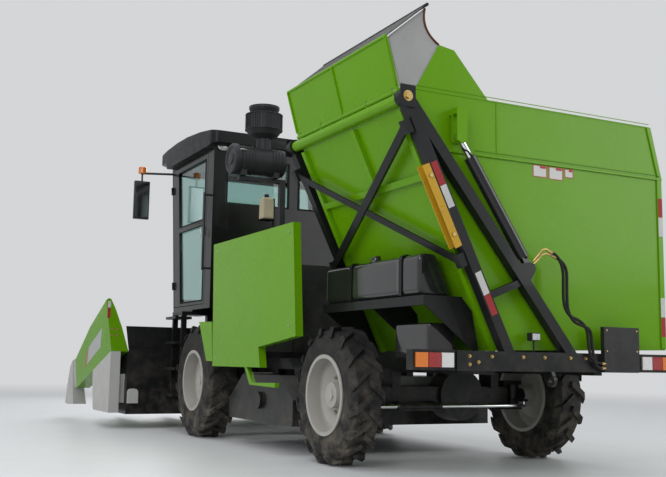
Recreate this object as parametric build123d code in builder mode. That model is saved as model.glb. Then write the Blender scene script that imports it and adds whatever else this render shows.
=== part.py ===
from build123d import *
import os
from math import cos, hypot, radians, sin, tan

os.makedirs("parts", exist_ok=True)

# Self-propelled corn harvester with a side-tipping cob tank.
# Frame: +X forward, +Y to the driver's left, +Z up, origin on the ground
# under the middle of the overall length and width. All lengths in millimetres.

# Overall layout
LENGTH = 8450
REAR_OVERHANG = 1500
WHEELBASE = 3040
REAR_AXLE_X = REAR_OVERHANG - LENGTH / 2
FRONT_AXLE_X = REAR_AXLE_X + WHEELBASE
TIP_X = LENGTH / 2

RUNNING_GAP = 5
SEAT_GAP = 0.3
PIN_GAP = 0.5


def ax(distance):
    """X of a place given as a distance ahead of the rear axle."""
    return REAR_AXLE_X + distance


def block(x0, x1, y0, y1, z0, z1):
    """An upright block between two corners."""
    with Locations(((x0 + x1) / 2, (y0 + y1) / 2, (z0 + z1) / 2)):
        Box(x1 - x0, y1 - y0, z1 - z0)


def cut_block(x0, x1, y0, y1, z0, z1):
    """The same block, taken away."""
    with Locations(((x0 + x1) / 2, (y0 + y1) / 2, (z0 + z1) / 2)):
        Box(x1 - x0, y1 - y0, z1 - z0, mode=Mode.SUBTRACT)


def side_plate(points, y0, y1, mode=Mode.ADD):
    """A plate with its outline in X and Z, between two values of Y."""
    with BuildSketch(Plane.XZ.offset(-y1)) as outline:
        Polygon(*points, align=None)
    extrude(outline.sketch, amount=y1 - y0, mode=mode)


def cross_plate(points, x0, x1, mode=Mode.ADD):
    """A plate with its outline in Y and Z, between two values of X."""
    with BuildSketch(Plane.YZ.offset(x0)) as outline:
        Polygon(*points, align=None)
    extrude(outline.sketch, amount=x1 - x0, mode=mode)


def round_bar(start, end, radius, mode=Mode.ADD):
    """A straight round bar between two points."""
    start, end = Vector(*start), Vector(*end)
    with BuildSketch(Plane(origin=start, z_dir=end - start)) as outline:
        Circle(radius)
    extrude(outline.sketch, amount=(end - start).length, mode=mode)


def box_bar(start, end, across, along_x):
    """A straight box section in a plane of constant X: across in that plane, along_x in X."""
    start, end = Vector(*start), Vector(*end)
    with BuildSketch(Plane(origin=start, x_dir=(1, 0, 0), z_dir=end - start)) as outline:
        Rectangle(along_x, across)
    extrude(outline.sketch, amount=(end - start).length)


def on_unit(start, along, out, direction):
    """A point some way along a direction and some way out to its right."""
    return (
        start[0] + along * direction[0] + out * direction[1],
        start[1] + along * direction[1] - out * direction[0],
    )


def unit(start, end):
    """Direction from one point to another."""
    size = hypot(end[0] - start[0], end[1] - start[1])
    return ((end[0] - start[0]) / size, (end[1] - start[1]) / size)


def strip_outline(start, end, thick):
    """Corners of a thin strip drawn between two points."""
    direction = unit(start, end)
    size = hypot(end[0] - start[0], end[1] - start[1])
    half = thick / 2
    corners = ((0, -half), (size, -half), (size, half), (0, half))
    return [on_unit(start, s, out, direction) for s, out in corners]


def save(part, label):
    part.label = label
    export_step(part, f"parts/{label}.step")


def save_several(parts, label):
    """Writes one node whose solids meet face to face and stay apart."""
    save(Compound(children=[solid for part in parts for solid in part.solids()]), label)


# Main frame: box rails, narrow between the steered rear wheels and wide in front
RAIL_LOW, RAIL_HIGH = 745, 905
RAIL_WIDTH = 80
REAR_RAIL_OUT = 540
FRONT_RAIL_OUT = 780
RAIL_STEP_X = ax(900)
RAIL_FRONT_X = ax(3900)
BEAM_FRONT_X = ax(-1380)
BEAM_REAR_X = ax(-1460)
BEAM_HALF = 840
BEAM_LOW, BEAM_HIGH = 770, 910
TOW_X, TOW_Z = ax(-1445), 705
TOW_HOLE_R = 20
TOW_HALF = 15

# Cab shell
CAB_REAR_X = ax(3130)
CAB_FRONT_LOW_X = ax(4430)
CAB_FRONT_HIGH_X = ax(4680)
CAB_HALF = 1000
CAB_WALL = 50
CAB_FLOOR_LOW, CAB_FLOOR = 1400, 1450
CAB_TOP = 3240

# Tipping geometry, in the plane of Y and Z
TIP_Y, TIP_Z = 1250, 2655
REAR_A_X = ax(-1420)
FRONT_A_X = ax(400)
LEG_WIDTH = 80
LEG_1_FOOT_Y = 390
LEG_2_FOOT_Y = -175
CYL_LOW_Y, CYL_LOW_Z = 180, 1520
CYL_TOP_Y, CYL_TOP_Z = 788, 2421
PIVOT_PIN_R = 25

# Header hinge, carried by lugs on the front rails
LIFT_X, LIFT_Z = ax(3350), 1000
LIFT_TUBE_R = 40
LIFT_LUG_Y0, LIFT_LUG_Y1 = 720, 760
LIFT_LOW_X, LIFT_LOW_Z = ax(3230), 520
LIFT_TOP_X, LIFT_TOP_Z = ax(4240), 330
LIFT_CYL_Y = 500

# Cylinder ends: an eye between two ears
EAR = 12
EAR_IN = 22
EYE_HALF = 20
LIFT_PIN_R = 14
TIP_PIN_R = 17

PANEL_IN = 1245
PANEL_OUT = 1260

CAB_POST_XS = (ax(3150), ax(3800))
ARM_XS = (ax(1150), ax(2150), ax(2350))
ARM_LONG, ARM_DEEP = 60, 55
STEP_BEAM_HALF = RAIL_WIDTH
FRONT_MEMBER_XS = (ax(1500), ax(2350))
LUG_HALF, LUG_ROUND_R = 65, 65
TOW_ROUND_R = 45


def pair(inner, outer, side):
    """The two values of Y of a piece on one side, in rising order."""
    return sorted((side * inner, side * outer))


with BuildPart() as frame_rails:
    for side in (-1, 1):
        rear_y = pair(REAR_RAIL_OUT - RAIL_WIDTH, REAR_RAIL_OUT, side)
        front_y = pair(FRONT_RAIL_OUT - RAIL_WIDTH, FRONT_RAIL_OUT, side)
        block(BEAM_FRONT_X, RAIL_STEP_X - STEP_BEAM_HALF, *rear_y, RAIL_LOW, RAIL_HIGH)
        block(RAIL_STEP_X + STEP_BEAM_HALF, RAIL_FRONT_X, *front_y, RAIL_LOW, RAIL_HIGH)

with BuildPart() as frame_members:
    # rear cross beam under the rear A-frame
    block(BEAM_REAR_X, BEAM_FRONT_X, -BEAM_HALF, BEAM_HALF, BEAM_LOW, BEAM_HIGH)
    # beam where the rails step out
    block(
        RAIL_STEP_X - STEP_BEAM_HALF,
        RAIL_STEP_X + STEP_BEAM_HALF,
        -FRONT_RAIL_OUT,
        FRONT_RAIL_OUT,
        RAIL_LOW,
        RAIL_HIGH,
    )
    front_in = FRONT_RAIL_OUT - RAIL_WIDTH
    for member_x in FRONT_MEMBER_XS:
        block(member_x, member_x + RAIL_WIDTH, -front_in, front_in, RAIL_LOW, RAIL_HIGH)
    rear_in = REAR_RAIL_OUT - RAIL_WIDTH
    block(FRONT_A_X - LEG_WIDTH / 2, FRONT_A_X + LEG_WIDTH / 2, -rear_in, rear_in, RAIL_LOW, RAIL_HIGH)

with BuildPart() as frame_brackets:
    for side in (-1, 1):
        for post_x in CAB_POST_XS:
            post_y = pair(FRONT_RAIL_OUT - RAIL_WIDTH, FRONT_RAIL_OUT, side)
            block(post_x, post_x + RAIL_WIDTH, *post_y, RAIL_HIGH, CAB_FLOOR_LOW)
        # lugs for the header hinge
        lug_y0, lug_y1 = pair(LIFT_LUG_Y0, LIFT_LUG_Y1, side)
        with BuildSketch(Plane.XZ.offset(-lug_y1)):
            with Locations((LIFT_X, (LIFT_Z + RAIL_HIGH) / 2)):
                Rectangle(2 * LUG_HALF, LIFT_Z - RAIL_HIGH)
            with Locations((LIFT_X, LIFT_Z)):
                Circle(LUG_ROUND_R)
                Circle(LIFT_TUBE_R + PIN_GAP, mode=Mode.SUBTRACT)
        extrude(amount=lug_y1 - lug_y0)
        # outriggers that carry the side panels
        for arm_x in ARM_XS:
            arm_y = pair(FRONT_RAIL_OUT, PANEL_IN, side)
            block(arm_x, arm_x + ARM_LONG, *arm_y, RAIL_HIGH - ARM_DEEP, RAIL_HIGH)

with BuildPart() as tow_eye:
    with BuildSketch(Plane.XZ.offset(-TOW_HALF)):
        with Locations((TOW_X, TOW_Z)):
            Circle(TOW_ROUND_R)
        Polygon(
            (TOW_X - TOW_ROUND_R, TOW_Z),
            (BEAM_REAR_X, BEAM_LOW),
            (BEAM_FRONT_X, BEAM_LOW),
            (TOW_X + TOW_ROUND_R, TOW_Z),
            align=None,
        )
        with Locations((TOW_X, TOW_Z)):
            Circle(TOW_HOLE_R, mode=Mode.SUBTRACT)
    extrude(amount=2 * TOW_HALF)
save_several((frame_rails.part, frame_members.part, frame_brackets.part, tow_eye.part), "main_frame")

# Wheels. Each row: rolling radius, half width of the tyre, track to the centre plane
RIM_SEAT_R = 305
RIM_FLANGE_R = 325
RIM_SHEET = 10
FRONT_TYRE_R, FRONT_TYRE_HALF, FRONT_TRACK_HALF = 600, 172, 1040
REAR_TYRE_R, REAR_TYRE_HALF, REAR_TRACK_HALF = 552.5, 150, 995
FRONT_AXLE_END = 690
KINGPIN_Y = 760
SPINDLE_END = 855
SHOULDER = 22


LUG_HIGH = 34
LUG_ROOT = 12
LUG_WIDE = 44
LUG_LEAN = 40
LUGS = 16
CROWN_EDGE = 34
SHOULDER_DROP = 58
SIDE_SWELL = 0.35


def tyre_section(crown, half, bead):
    """Half section of a tyre, from the bead seat out to its crown."""
    swell_r = RIM_FLANGE_R + SIDE_SWELL * (crown - RIM_FLANGE_R)
    with BuildSketch(Plane.XY) as section:
        Polygon(
            (-bead, RIM_SEAT_R),
            (-bead, RIM_FLANGE_R + 3),
            (-half, swell_r),
            (-half, crown - SHOULDER_DROP),
            (-half + CROWN_EDGE, crown),
            (half - CROWN_EDGE, crown),
            (half, crown - SHOULDER_DROP),
            (half, swell_r),
            (bead, RIM_FLANGE_R + 3),
            (bead, RIM_SEAT_R),
            align=None,
        )
    return section.sketch


def make_tyre(radius, half):
    """A farm tyre about the Y axis: a body and two rows of slanting lugs out to the rolling radius."""
    bead = half - SHOULDER
    lean = radians(LUG_LEAN)
    with BuildPart() as body:
        revolve(tyre_section(radius - LUG_HIGH, half - LUG_ROOT, bead), axis=Axis.X)
    with BuildPart() as lug:
        revolve(tyre_section(radius, half, bead), axis=Axis.X)
        with Locations(Location((half / 2, radius, -half / 2 * tan(lean)), (0, LUG_LEAN, 0))):
            Box(half / cos(lean) + CROWN_EDGE, 2 * (LUG_HIGH + SHOULDER_DROP), LUG_WIDE, mode=Mode.INTERSECT)
        with BuildSketch(Plane.YZ.offset(-half)):
            Circle(radius + 1)
        extrude(amount=half - LUG_WIDE / 4, mode=Mode.SUBTRACT)
    other = lug.part.mirror(Plane.YZ)
    pitch = 360 / LUGS
    rows = [lug.part.rotate(Axis.X, index * pitch) for index in range(LUGS)]
    rows += [other.rotate(Axis.X, (index + 0.5) * pitch) for index in range(LUGS)]
    return (body.part + rows).rotate(Axis.Z, 90)


def make_rim(axle_x, radius, half, centre_y, hub_in, side):
    """A pressed rim with its dished disc and hub; the hub reaches in to the axle end."""
    bead = half - SHOULDER
    seat_in = RIM_SEAT_R - RIM_SHEET
    hub_from = hub_in - abs(centre_y)
    with BuildPart() as rim:
        with BuildSketch(Plane.XY):
            with BuildLine():
                Polyline(
                    (-bead - 12, RIM_FLANGE_R),
                    (-bead - 1, RIM_FLANGE_R),
                    (-bead - 1, RIM_SEAT_R),
                    (bead + 1, RIM_SEAT_R),
                    (bead + 1, RIM_FLANGE_R),
                    (bead + 12, RIM_FLANGE_R),
                    (bead + 12, seat_in),
                    (30, seat_in),
                    (30, 250),
                    (-10, 190),
                    (-10, 110),
                    (70, 100),
                    (70, 0),
                    (hub_from, 0),
                    (hub_from, 70),
                    (-40, 90),
                    (-22, 110),
                    (-22, 195),
                    (18, 258),
                    (18, seat_in),
                    (-bead - 12, seat_in),
                    (-bead - 12, RIM_FLANGE_R),
                )
            make_face()
        revolve(axis=Axis.X)
    turned = rim.part.rotate(Axis.Z, 90 * side)
    return turned.moved(Location((axle_x, centre_y, radius)))


# columns: name, axle X, radius, half width, track half, hub inner end
AXLES = (
    ("front", FRONT_AXLE_X, FRONT_TYRE_R, FRONT_TYRE_HALF, FRONT_TRACK_HALF, FRONT_AXLE_END),
    ("rear", REAR_AXLE_X, REAR_TYRE_R, REAR_TYRE_HALF, REAR_TRACK_HALF, SPINDLE_END),
)
for name, wheel_x, radius, half, track, hub_in in AXLES:
    tyre = make_tyre(radius, half)
    for side_name, side in (("left", 1), ("right", -1)):
        save(tyre.moved(Location((wheel_x, side * track, radius))), f"{name}_{side_name}_tyre")
        rim = make_rim(wheel_x, radius, half, side * track, hub_in + SEAT_GAP, side)
        save(rim, f"{name}_{side_name}_rim")

# Front drive axle, bolted under the wide rails
with BuildPart() as front_axle:
    round_bar((FRONT_AXLE_X, -FRONT_AXLE_END, FRONT_TYRE_R), (FRONT_AXLE_X, FRONT_AXLE_END, FRONT_TYRE_R), 90)
    block(FRONT_AXLE_X - 150, FRONT_AXLE_X + 150, -170, 170, 440, RAIL_LOW)
    for side in (-1, 1):
        y0, y1 = sorted((side * (FRONT_RAIL_OUT - RAIL_WIDTH - 60), side * FRONT_AXLE_END))
        block(FRONT_AXLE_X - 90, FRONT_AXLE_X + 90, y0, y1, 460, RAIL_LOW - 40)
        y0, y1 = sorted((side * (FRONT_RAIL_OUT - RAIL_WIDTH - 60), side * FRONT_RAIL_OUT))
        block(FRONT_AXLE_X - 90, FRONT_AXLE_X + 90, y0, y1, RAIL_LOW - 40, RAIL_LOW)
        # ears with the lift cylinder's lower pin
        for ear_y in (side * LIFT_CYL_Y - EAR_IN - EAR, side * LIFT_CYL_Y + EAR_IN):
            side_plate(
                (
                    (FRONT_AXLE_X + 40, FRONT_TYRE_R + 60),
                    (LIFT_LOW_X, LIFT_LOW_Z + 42),
                    (LIFT_LOW_X + 36, LIFT_LOW_Z + 22),
                    (LIFT_LOW_X + 36, LIFT_LOW_Z - 22),
                    (LIFT_LOW_X, LIFT_LOW_Z - 42),
                    (FRONT_AXLE_X + 40, FRONT_TYRE_R - 70),
                ),
                ear_y,
                ear_y + EAR,
            )
        round_bar(
            (LIFT_LOW_X, side * LIFT_CYL_Y - EAR_IN - EAR, LIFT_LOW_Z),
            (LIFT_LOW_X, side * LIFT_CYL_Y + EAR_IN + EAR, LIFT_LOW_Z),
            LIFT_PIN_R,
        )
save(front_axle.part, "front_axle")

# Rear steered axle: beam, round differential bowl, fork ends and the steering cylinder's barrel
AXLE_Z = REAR_TYRE_R
BOWL_Y, BOWL_R = -145, 215
FORK_Y = 625
KNUCKLE_LOW, KNUCKLE_HIGH = 462, 643
ARM_X = ax(-175)
ROD_Z = 465
ROD_R = 16
ARM_LOW = 500
STEER_Y0, STEER_Y1 = 120, 540
with BuildPart() as rear_axle:
    block(ax(-70), ax(70), -FORK_Y - 30, FORK_Y + 30, AXLE_Z - 70, AXLE_Z + 70)
    with BuildSketch(Plane.YZ.offset(ax(-105))):
        with Locations((BOWL_Y, AXLE_Z)):
            Circle(BOWL_R)
    extrude(amount=210)
    for side in (-1, 1):
        y0, y1 = sorted((side * FORK_Y, side * (KINGPIN_Y + 60)))
        block(ax(-55), ax(55), y0, y1, KNUCKLE_LOW - SEAT_GAP - 35, KNUCKLE_LOW - SEAT_GAP)
        block(ax(-55), ax(55), y0, y1, KNUCKLE_HIGH + SEAT_GAP, KNUCKLE_HIGH + SEAT_GAP + 35)
        y0, y1 = sorted((side * FORK_Y, side * (FORK_Y + 30)))
        block(ax(-55), ax(55), y0, y1, KNUCKLE_LOW - 35, KNUCKLE_HIGH + 35)
        # pads up to the rails
        y0, y1 = sorted((side * (REAR_RAIL_OUT - RAIL_WIDTH), side * REAR_RAIL_OUT))
        block(ax(-90), ax(90), y0, y1, AXLE_Z + 60, RAIL_LOW)
    # barrel of the steering cylinder on two brackets
    round_bar((ARM_X, STEER_Y0, ROD_Z), (ARM_X, STEER_Y1, ROD_Z), 34)
    for bracket_y in (STEER_Y0 + 20, STEER_Y1 - 60):
        block(ARM_X, ax(-60), bracket_y, bracket_y + 40, ROD_Z - 10, ROD_Z + 40)
    round_bar((ARM_X, STEER_Y0 - 1, ROD_Z), (ARM_X, STEER_Y1 + 1, ROD_Z), ROD_R + PIN_GAP, mode=Mode.SUBTRACT)
save(rear_axle.part, "rear_axle")

for name, side in (("left", 1), ("right", -1)):
    with BuildPart() as knuckle:
        pin_y = side * KINGPIN_Y
        round_bar((REAR_AXLE_X, pin_y, KNUCKLE_LOW), (REAR_AXLE_X, pin_y, KNUCKLE_HIGH), 55)
        round_bar((REAR_AXLE_X, side * KINGPIN_Y, AXLE_Z), (REAR_AXLE_X, side * SPINDLE_END, AXLE_Z), 60)
        y0, y1 = sorted((side * (KINGPIN_Y - 30), side * (KINGPIN_Y + 10)))
        block(ARM_X - 30, REAR_AXLE_X - 20, y0, y1, ARM_LOW, ARM_LOW + 22)
    save(knuckle.part, f"steering_knuckle_{name}")

with BuildPart() as steering_rod:
    round_bar((ARM_X, -KINGPIN_Y - 10, ROD_Z), (ARM_X, KINGPIN_Y + 10, ROD_Z), ROD_R)
    for side in (-1, 1):
        stud_y = side * (KINGPIN_Y - 10)
        round_bar((ARM_X, stud_y, ROD_Z), (ARM_X, stud_y, ARM_LOW - SEAT_GAP), 14)
save(steering_rod.part, "steering_rod")

# Engine, seen over the side panel as a dark mass
with BuildPart() as engine_block:
    block(ax(1350), ax(2300), 200, 800, RAIL_HIGH, 1600)
    block(ax(1450), ax(2200), 330, 670, 1600, 1760)
save(engine_block.part, "engine_block")

# Side panels with the guard rail below
PANEL_OUTLINE = (
    (ax(2330), 2005),
    (ax(370), 2000),
    (ax(280), 1027),
    (ax(1076), 943),
    (ax(1030), 760),
    (ax(2262), 760),
)
FRONT_PANEL = ((ax(2710), 1220), (ax(2325), 1210), (ax(2272), 810), (ax(2450), 810))
with BuildPart() as side_panels:
    for side in (-1, 1):
        y0, y1 = sorted((side * PANEL_IN, side * PANEL_OUT))
        side_plate(PANEL_OUTLINE, y0, y1)
        side_plate(FRONT_PANEL, y0, y1)
        y0, y1 = sorted((side * (PANEL_IN - 40), side * PANEL_IN))
        side_plate(((ax(1460), 790), (ax(1400), 790), (ax(1240), 620), (ax(1300), 600)), y0, y1)
        side_plate(((ax(1300), 600), (ax(1240), 620), (ax(720), 630), (ax(720), 590)), y0, y1)
save(side_panels.part, "side_panels")

# Cab shell: hollow, with its door and window openings
LEAN = (CAB_FRONT_HIGH_X - CAB_FRONT_LOW_X) / (CAB_TOP - CAB_FLOOR_LOW)


def cab_front(z, back=0):
    """X of the leaning cab front at a height, set back by some distance."""
    return CAB_FRONT_LOW_X + LEAN * (z - CAB_FLOOR_LOW) - back


DOOR_REAR_X = ax(3330)
DOOR_LOW, DOOR_HIGH = 1458, 3195
DOOR_BACK = 40
DOOR_THICK = 40
DOOR_GAP = 8
REAR_WINDOW_LOW, REAR_WINDOW_HIGH = 2590, 3130
DOOR_HINGE_ZS = (1720, 2940)
DOOR_HINGE_Y = CAB_HALF + 16
DOOR_PIN_R = 6
DOOR_SLEEVE_R = 12
LEAF = 7


def on_hinge(z):
    """The door's hinge line at a height."""
    return (cab_front(z, DOOR_BACK - DOOR_GAP / 2), DOOR_HINGE_Y, z)


def leaf_outline(low, high, back_0, back_1):
    """A hinge leaf's outline that leans with the door."""
    return (
        (cab_front(low, back_0), low),
        (cab_front(low, back_1), low),
        (cab_front(high, back_1), high),
        (cab_front(high, back_0), high),
    )


with BuildPart() as cab_shell:
    side_plate(
        (
            (CAB_REAR_X, CAB_FLOOR_LOW),
            (CAB_FRONT_LOW_X, CAB_FLOOR_LOW),
            (CAB_FRONT_HIGH_X, CAB_TOP),
            (CAB_REAR_X, CAB_TOP),
        ),
        -CAB_HALF,
        CAB_HALF,
    )
    side_plate(
        (
            (CAB_REAR_X + CAB_WALL, CAB_FLOOR),
            (cab_front(CAB_FLOOR, CAB_WALL), CAB_FLOOR),
            (cab_front(CAB_TOP - CAB_WALL, CAB_WALL), CAB_TOP - CAB_WALL),
            (CAB_REAR_X + CAB_WALL, CAB_TOP - CAB_WALL),
        ),
        -CAB_HALF + CAB_WALL,
        CAB_HALF - CAB_WALL,
        mode=Mode.SUBTRACT,
    )
    # door opening on the left
    side_plate(
        (
            (DOOR_REAR_X - DOOR_GAP, DOOR_LOW - DOOR_GAP),
            (cab_front(DOOR_LOW - DOOR_GAP, DOOR_BACK - DOOR_GAP), DOOR_LOW - DOOR_GAP),
            (cab_front(DOOR_HIGH + DOOR_GAP, DOOR_BACK - DOOR_GAP), DOOR_HIGH + DOOR_GAP),
            (DOOR_REAR_X - DOOR_GAP, DOOR_HIGH + DOOR_GAP),
        ),
        CAB_HALF - CAB_WALL - 10,
        CAB_HALF + 10,
        mode=Mode.SUBTRACT,
    )
    # right side window
    side_plate(
        (
            (DOOR_REAR_X, 2050),
            (cab_front(2050, 130), 2050),
            (cab_front(3130, 130), 3130),
            (DOOR_REAR_X, 3130),
        ),
        -CAB_HALF - 10,
        -CAB_HALF + CAB_WALL + 10,
        mode=Mode.SUBTRACT,
    )
    # windscreen opening
    cut_block(ax(4300), ax(4900), -CAB_HALF + 90, CAB_HALF - 90, 1560, 3150)
    # two rear windows with a post between
    for y0, y1 in ((55, 850), (-850, -55)):
        cut_block(CAB_REAR_X - 10, CAB_REAR_X + CAB_WALL + 10, y0, y1, REAR_WINDOW_LOW, REAR_WINDOW_HIGH)
    # fixed halves of the door hinges, with their pins
    for hinge_z in DOOR_HINGE_ZS:
        round_bar(on_hinge(hinge_z - 45), on_hinge(hinge_z + 45), DOOR_PIN_R)
        for low, high in ((hinge_z - 45, hinge_z - 24), (hinge_z + 24, hinge_z + 45)):
            leaf = leaf_outline(low, high, DOOR_BACK - DOOR_GAP, DOOR_BACK - 70)
            side_plate(leaf, CAB_HALF, CAB_HALF + LEAF)
            round_bar(on_hinge(low), on_hinge(high), DOOR_SLEEVE_R)
save(cab_shell.part, "cab_shell")

GLASS = 6
with BuildPart() as cab_glass:
    side_plate(
        (
            (cab_front(1560, 30), 1560),
            (cab_front(1560, 30 - GLASS), 1560),
            (cab_front(3150, 30 - GLASS), 3150),
            (cab_front(3150, 30), 3150),
        ),
        -CAB_HALF + 90,
        CAB_HALF - 90,
    )
    side_plate(
        (
            (DOOR_REAR_X, 2050),
            (cab_front(2050, 130), 2050),
            (cab_front(3130, 130), 3130),
            (DOOR_REAR_X, 3130),
        ),
        -CAB_HALF + 20,
        -CAB_HALF + 20 + GLASS,
    )
    for y0, y1 in ((55, 850), (-850, -55)):
        block(CAB_REAR_X + 20, CAB_REAR_X + 20 + GLASS, y0, y1, REAR_WINDOW_LOW, REAR_WINDOW_HIGH)
save(cab_glass.part, "cab_glass")

# Roof: a lens-shaped cap with a long visor
ROOF_REAR_X = ax(3000)
ROOF_TIP_X = ax(5200)
ROOF_HALF = 1070
ROOF_FRONT_R, ROOF_REAR_R = 330, 90
with BuildPart() as cab_roof:
    with BuildSketch(Plane.XZ.offset(-ROOF_HALF)):
        Polygon(
            (ROOF_REAR_X, 3265),
            (ROOF_REAR_X, 3400),
            (ax(3440), 3458),
            (ax(3900), 3494),
            (ax(4300), 3500),
            (ax(4700), 3482),
            (ax(5000), 3446),
            (ROOF_TIP_X, 3400),
            (ROOF_TIP_X - 30, 3350),
            (ax(4760), 3330),
            (CAB_FRONT_HIGH_X + 20, CAB_TOP),
            (CAB_REAR_X, CAB_TOP),
            align=None,
        )
    extrude(amount=2 * ROOF_HALF)
    # rounded in plan, most at the visor
    with BuildSketch(Plane.XY.offset(CAB_TOP - 50)) as roof_plan:
        with Locations(((ROOF_REAR_X + ROOF_TIP_X) / 2, 0)):
            Rectangle(ROOF_TIP_X - ROOF_REAR_X, 2 * ROOF_HALF)
        fillet(roof_plan.vertices().sort_by(Axis.X)[-2:], ROOF_FRONT_R)
        fillet(roof_plan.vertices().sort_by(Axis.X)[:2], ROOF_REAR_R)
    extrude(amount=400, mode=Mode.INTERSECT)
save(cab_roof.part, "cab_roof")

# Door, hinged along its leaning front edge
STILE_FRONT = 220
STILE_REAR = 55
DOOR_RAIL = 55
DOOR_MID = 2400


def door_edge(z, back=0):
    return cab_front(z, DOOR_BACK + back)


DOOR_OUT = CAB_HALF
DOOR_IN = CAB_HALF - DOOR_THICK
DOOR_PANES = (
    (DOOR_LOW + 30, DOOR_MID - DOOR_RAIL / 2),
    (DOOR_MID + DOOR_RAIL / 2, DOOR_HIGH - DOOR_RAIL),
)
with BuildPart() as cab_door:
    side_plate(
        (
            (DOOR_REAR_X, DOOR_LOW),
            (door_edge(DOOR_LOW), DOOR_LOW),
            (door_edge(DOOR_HIGH), DOOR_HIGH),
            (DOOR_REAR_X, DOOR_HIGH),
        ),
        DOOR_IN,
        DOOR_OUT,
    )
    for low, high in DOOR_PANES:
        side_plate(
            (
                (DOOR_REAR_X + STILE_REAR, low),
                (door_edge(low, STILE_FRONT), low),
                (door_edge(high, STILE_FRONT), high),
                (DOOR_REAR_X + STILE_REAR, high),
            ),
            DOOR_IN - 5,
            DOOR_OUT + 5,
            mode=Mode.SUBTRACT,
        )
    for hinge_z in DOOR_HINGE_ZS:
        leaf = leaf_outline(hinge_z - 18, hinge_z + 18, DOOR_BACK, DOOR_BACK + 70)
        side_plate(leaf, CAB_HALF, CAB_HALF + LEAF)
        round_bar(on_hinge(hinge_z - 20), on_hinge(hinge_z + 20), DOOR_SLEEVE_R)
        round_bar(on_hinge(hinge_z - 22), on_hinge(hinge_z + 22), DOOR_PIN_R + PIN_GAP, mode=Mode.SUBTRACT)
save(cab_door.part, "cab_door")

with BuildPart() as door_glass:
    for low, high in DOOR_PANES:
        side_plate(
            (
                (DOOR_REAR_X + STILE_REAR, low),
                (door_edge(low, STILE_FRONT), low),
                (door_edge(high, STILE_FRONT), high),
                (DOOR_REAR_X + STILE_REAR, high),
            ),
            DOOR_IN + 15,
            DOOR_IN + 15 + GLASS,
        )
save(door_glass.part, "door_glass")

# Driver's place, seen through the glass
SEAT_X = ax(3620)
with BuildPart() as driver_seat:
    block(SEAT_X - 180, SEAT_X + 180, -190, 190, CAB_FLOOR, 1800)
    block(SEAT_X - 240, SEAT_X + 250, -250, 250, 1800, 1920)
    side_plate(
        ((SEAT_X - 240, 1920), (SEAT_X - 110, 1920), (SEAT_X - 180, 2520), (SEAT_X - 280, 2520)), -240, 240
    )
save(driver_seat.part, "driver_seat")

STEER_WHEEL_R, STEER_WHEEL_SECTION = 214, 26
with BuildPart() as steering_console:
    with Locations(Plane(origin=(ax(4115), 0, 2140), z_dir=(-0.35, 0, 0.94))):
        Cylinder(STEER_WHEEL_R, STEER_WHEEL_SECTION)
        Cylinder(STEER_WHEEL_R - STEER_WHEEL_SECTION, STEER_WHEEL_SECTION, mode=Mode.SUBTRACT)
        Box(2 * STEER_WHEEL_R - STEER_WHEEL_SECTION, 30, 16)
        Cylinder(40, 60)
    side_plate(
        ((ax(4140), CAB_FLOOR), (ax(4300), CAB_FLOOR), (ax(4180), 2120), (ax(4090), 2120)), -90, 90
    )
save(steering_console.part, "steering_console")

# Ladder on the left and the tall handle on the rear pillar
LADDER_X0, LADDER_X1 = ax(3720), ax(4080)
LADDER_Y0, LADDER_Y1 = CAB_HALF, CAB_HALF + 200
with BuildPart() as ladder:
    for x0 in (LADDER_X0, LADDER_X1 - 40):
        block(x0, x0 + 40, LADDER_Y0 + 60, LADDER_Y0 + 120, 380, CAB_FLOOR_LOW - 60)
    for step_z in (400, 700, 1000, 1290):
        block(LADDER_X0, LADDER_X1, LADDER_Y0, LADDER_Y1, step_z, step_z + 30)
    block(LADDER_X0, LADDER_X1, FRONT_RAIL_OUT + 10, CAB_HALF, CAB_FLOOR_LOW - 60, CAB_FLOOR_LOW)
    block(LADDER_X0, LADDER_X1, CAB_HALF, LADDER_Y0 + 60, CAB_FLOOR_LOW - 60, CAB_FLOOR_LOW - 20)
    block(LADDER_X0, LADDER_X1, LADDER_Y0 + 60, LADDER_Y0 + 120, CAB_FLOOR_LOW - 60, CAB_FLOOR_LOW - 20)
save(ladder.part, "ladder")

with BuildPart() as grab_handles:
    for handle_x, low, high in ((ax(3240), 1850, 2690),):
        for end_z in (low, high):
            round_bar((handle_x, CAB_HALF, end_z), (handle_x, CAB_HALF + 60, end_z), 12)
        round_bar((handle_x, CAB_HALF + 60, low - 24), (handle_x, CAB_HALF + 60, high + 24), 14)
save(grab_handles.part, "grab_handles")

# Mirrors on tube arms at both front corners
MIRROR_X, MIRROR_Y = ax(4850), CAB_HALF + 345
with BuildPart() as mirrors:
    for side in (-1, 1):
        root = (cab_front(3180) + 15, side * (CAB_HALF - 60), 3180)
        y0, y1 = sorted((side * (CAB_HALF - 90), side * (CAB_HALF - 30)))
        side_plate(
            (
                (cab_front(3150), 3150),
                (cab_front(3150) + 30, 3150),
                (cab_front(3210) + 30, 3210),
                (cab_front(3210), 3210),
            ),
            y0,
            y1,
        )
        corner = (MIRROR_X, side * (MIRROR_Y + 20), 3180)
        round_bar(root, corner, 14)
        round_bar((MIRROR_X, side * MIRROR_Y, 3180), (MIRROR_X, side * MIRROR_Y, 3070), 11)
        y0, y1 = sorted((side * (MIRROR_Y - 95), side * (MIRROR_Y + 95)))
        block(MIRROR_X - 35, MIRROR_X + 25, y0, y1, 2590, 3075)
save(mirrors.part, "mirrors")

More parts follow.
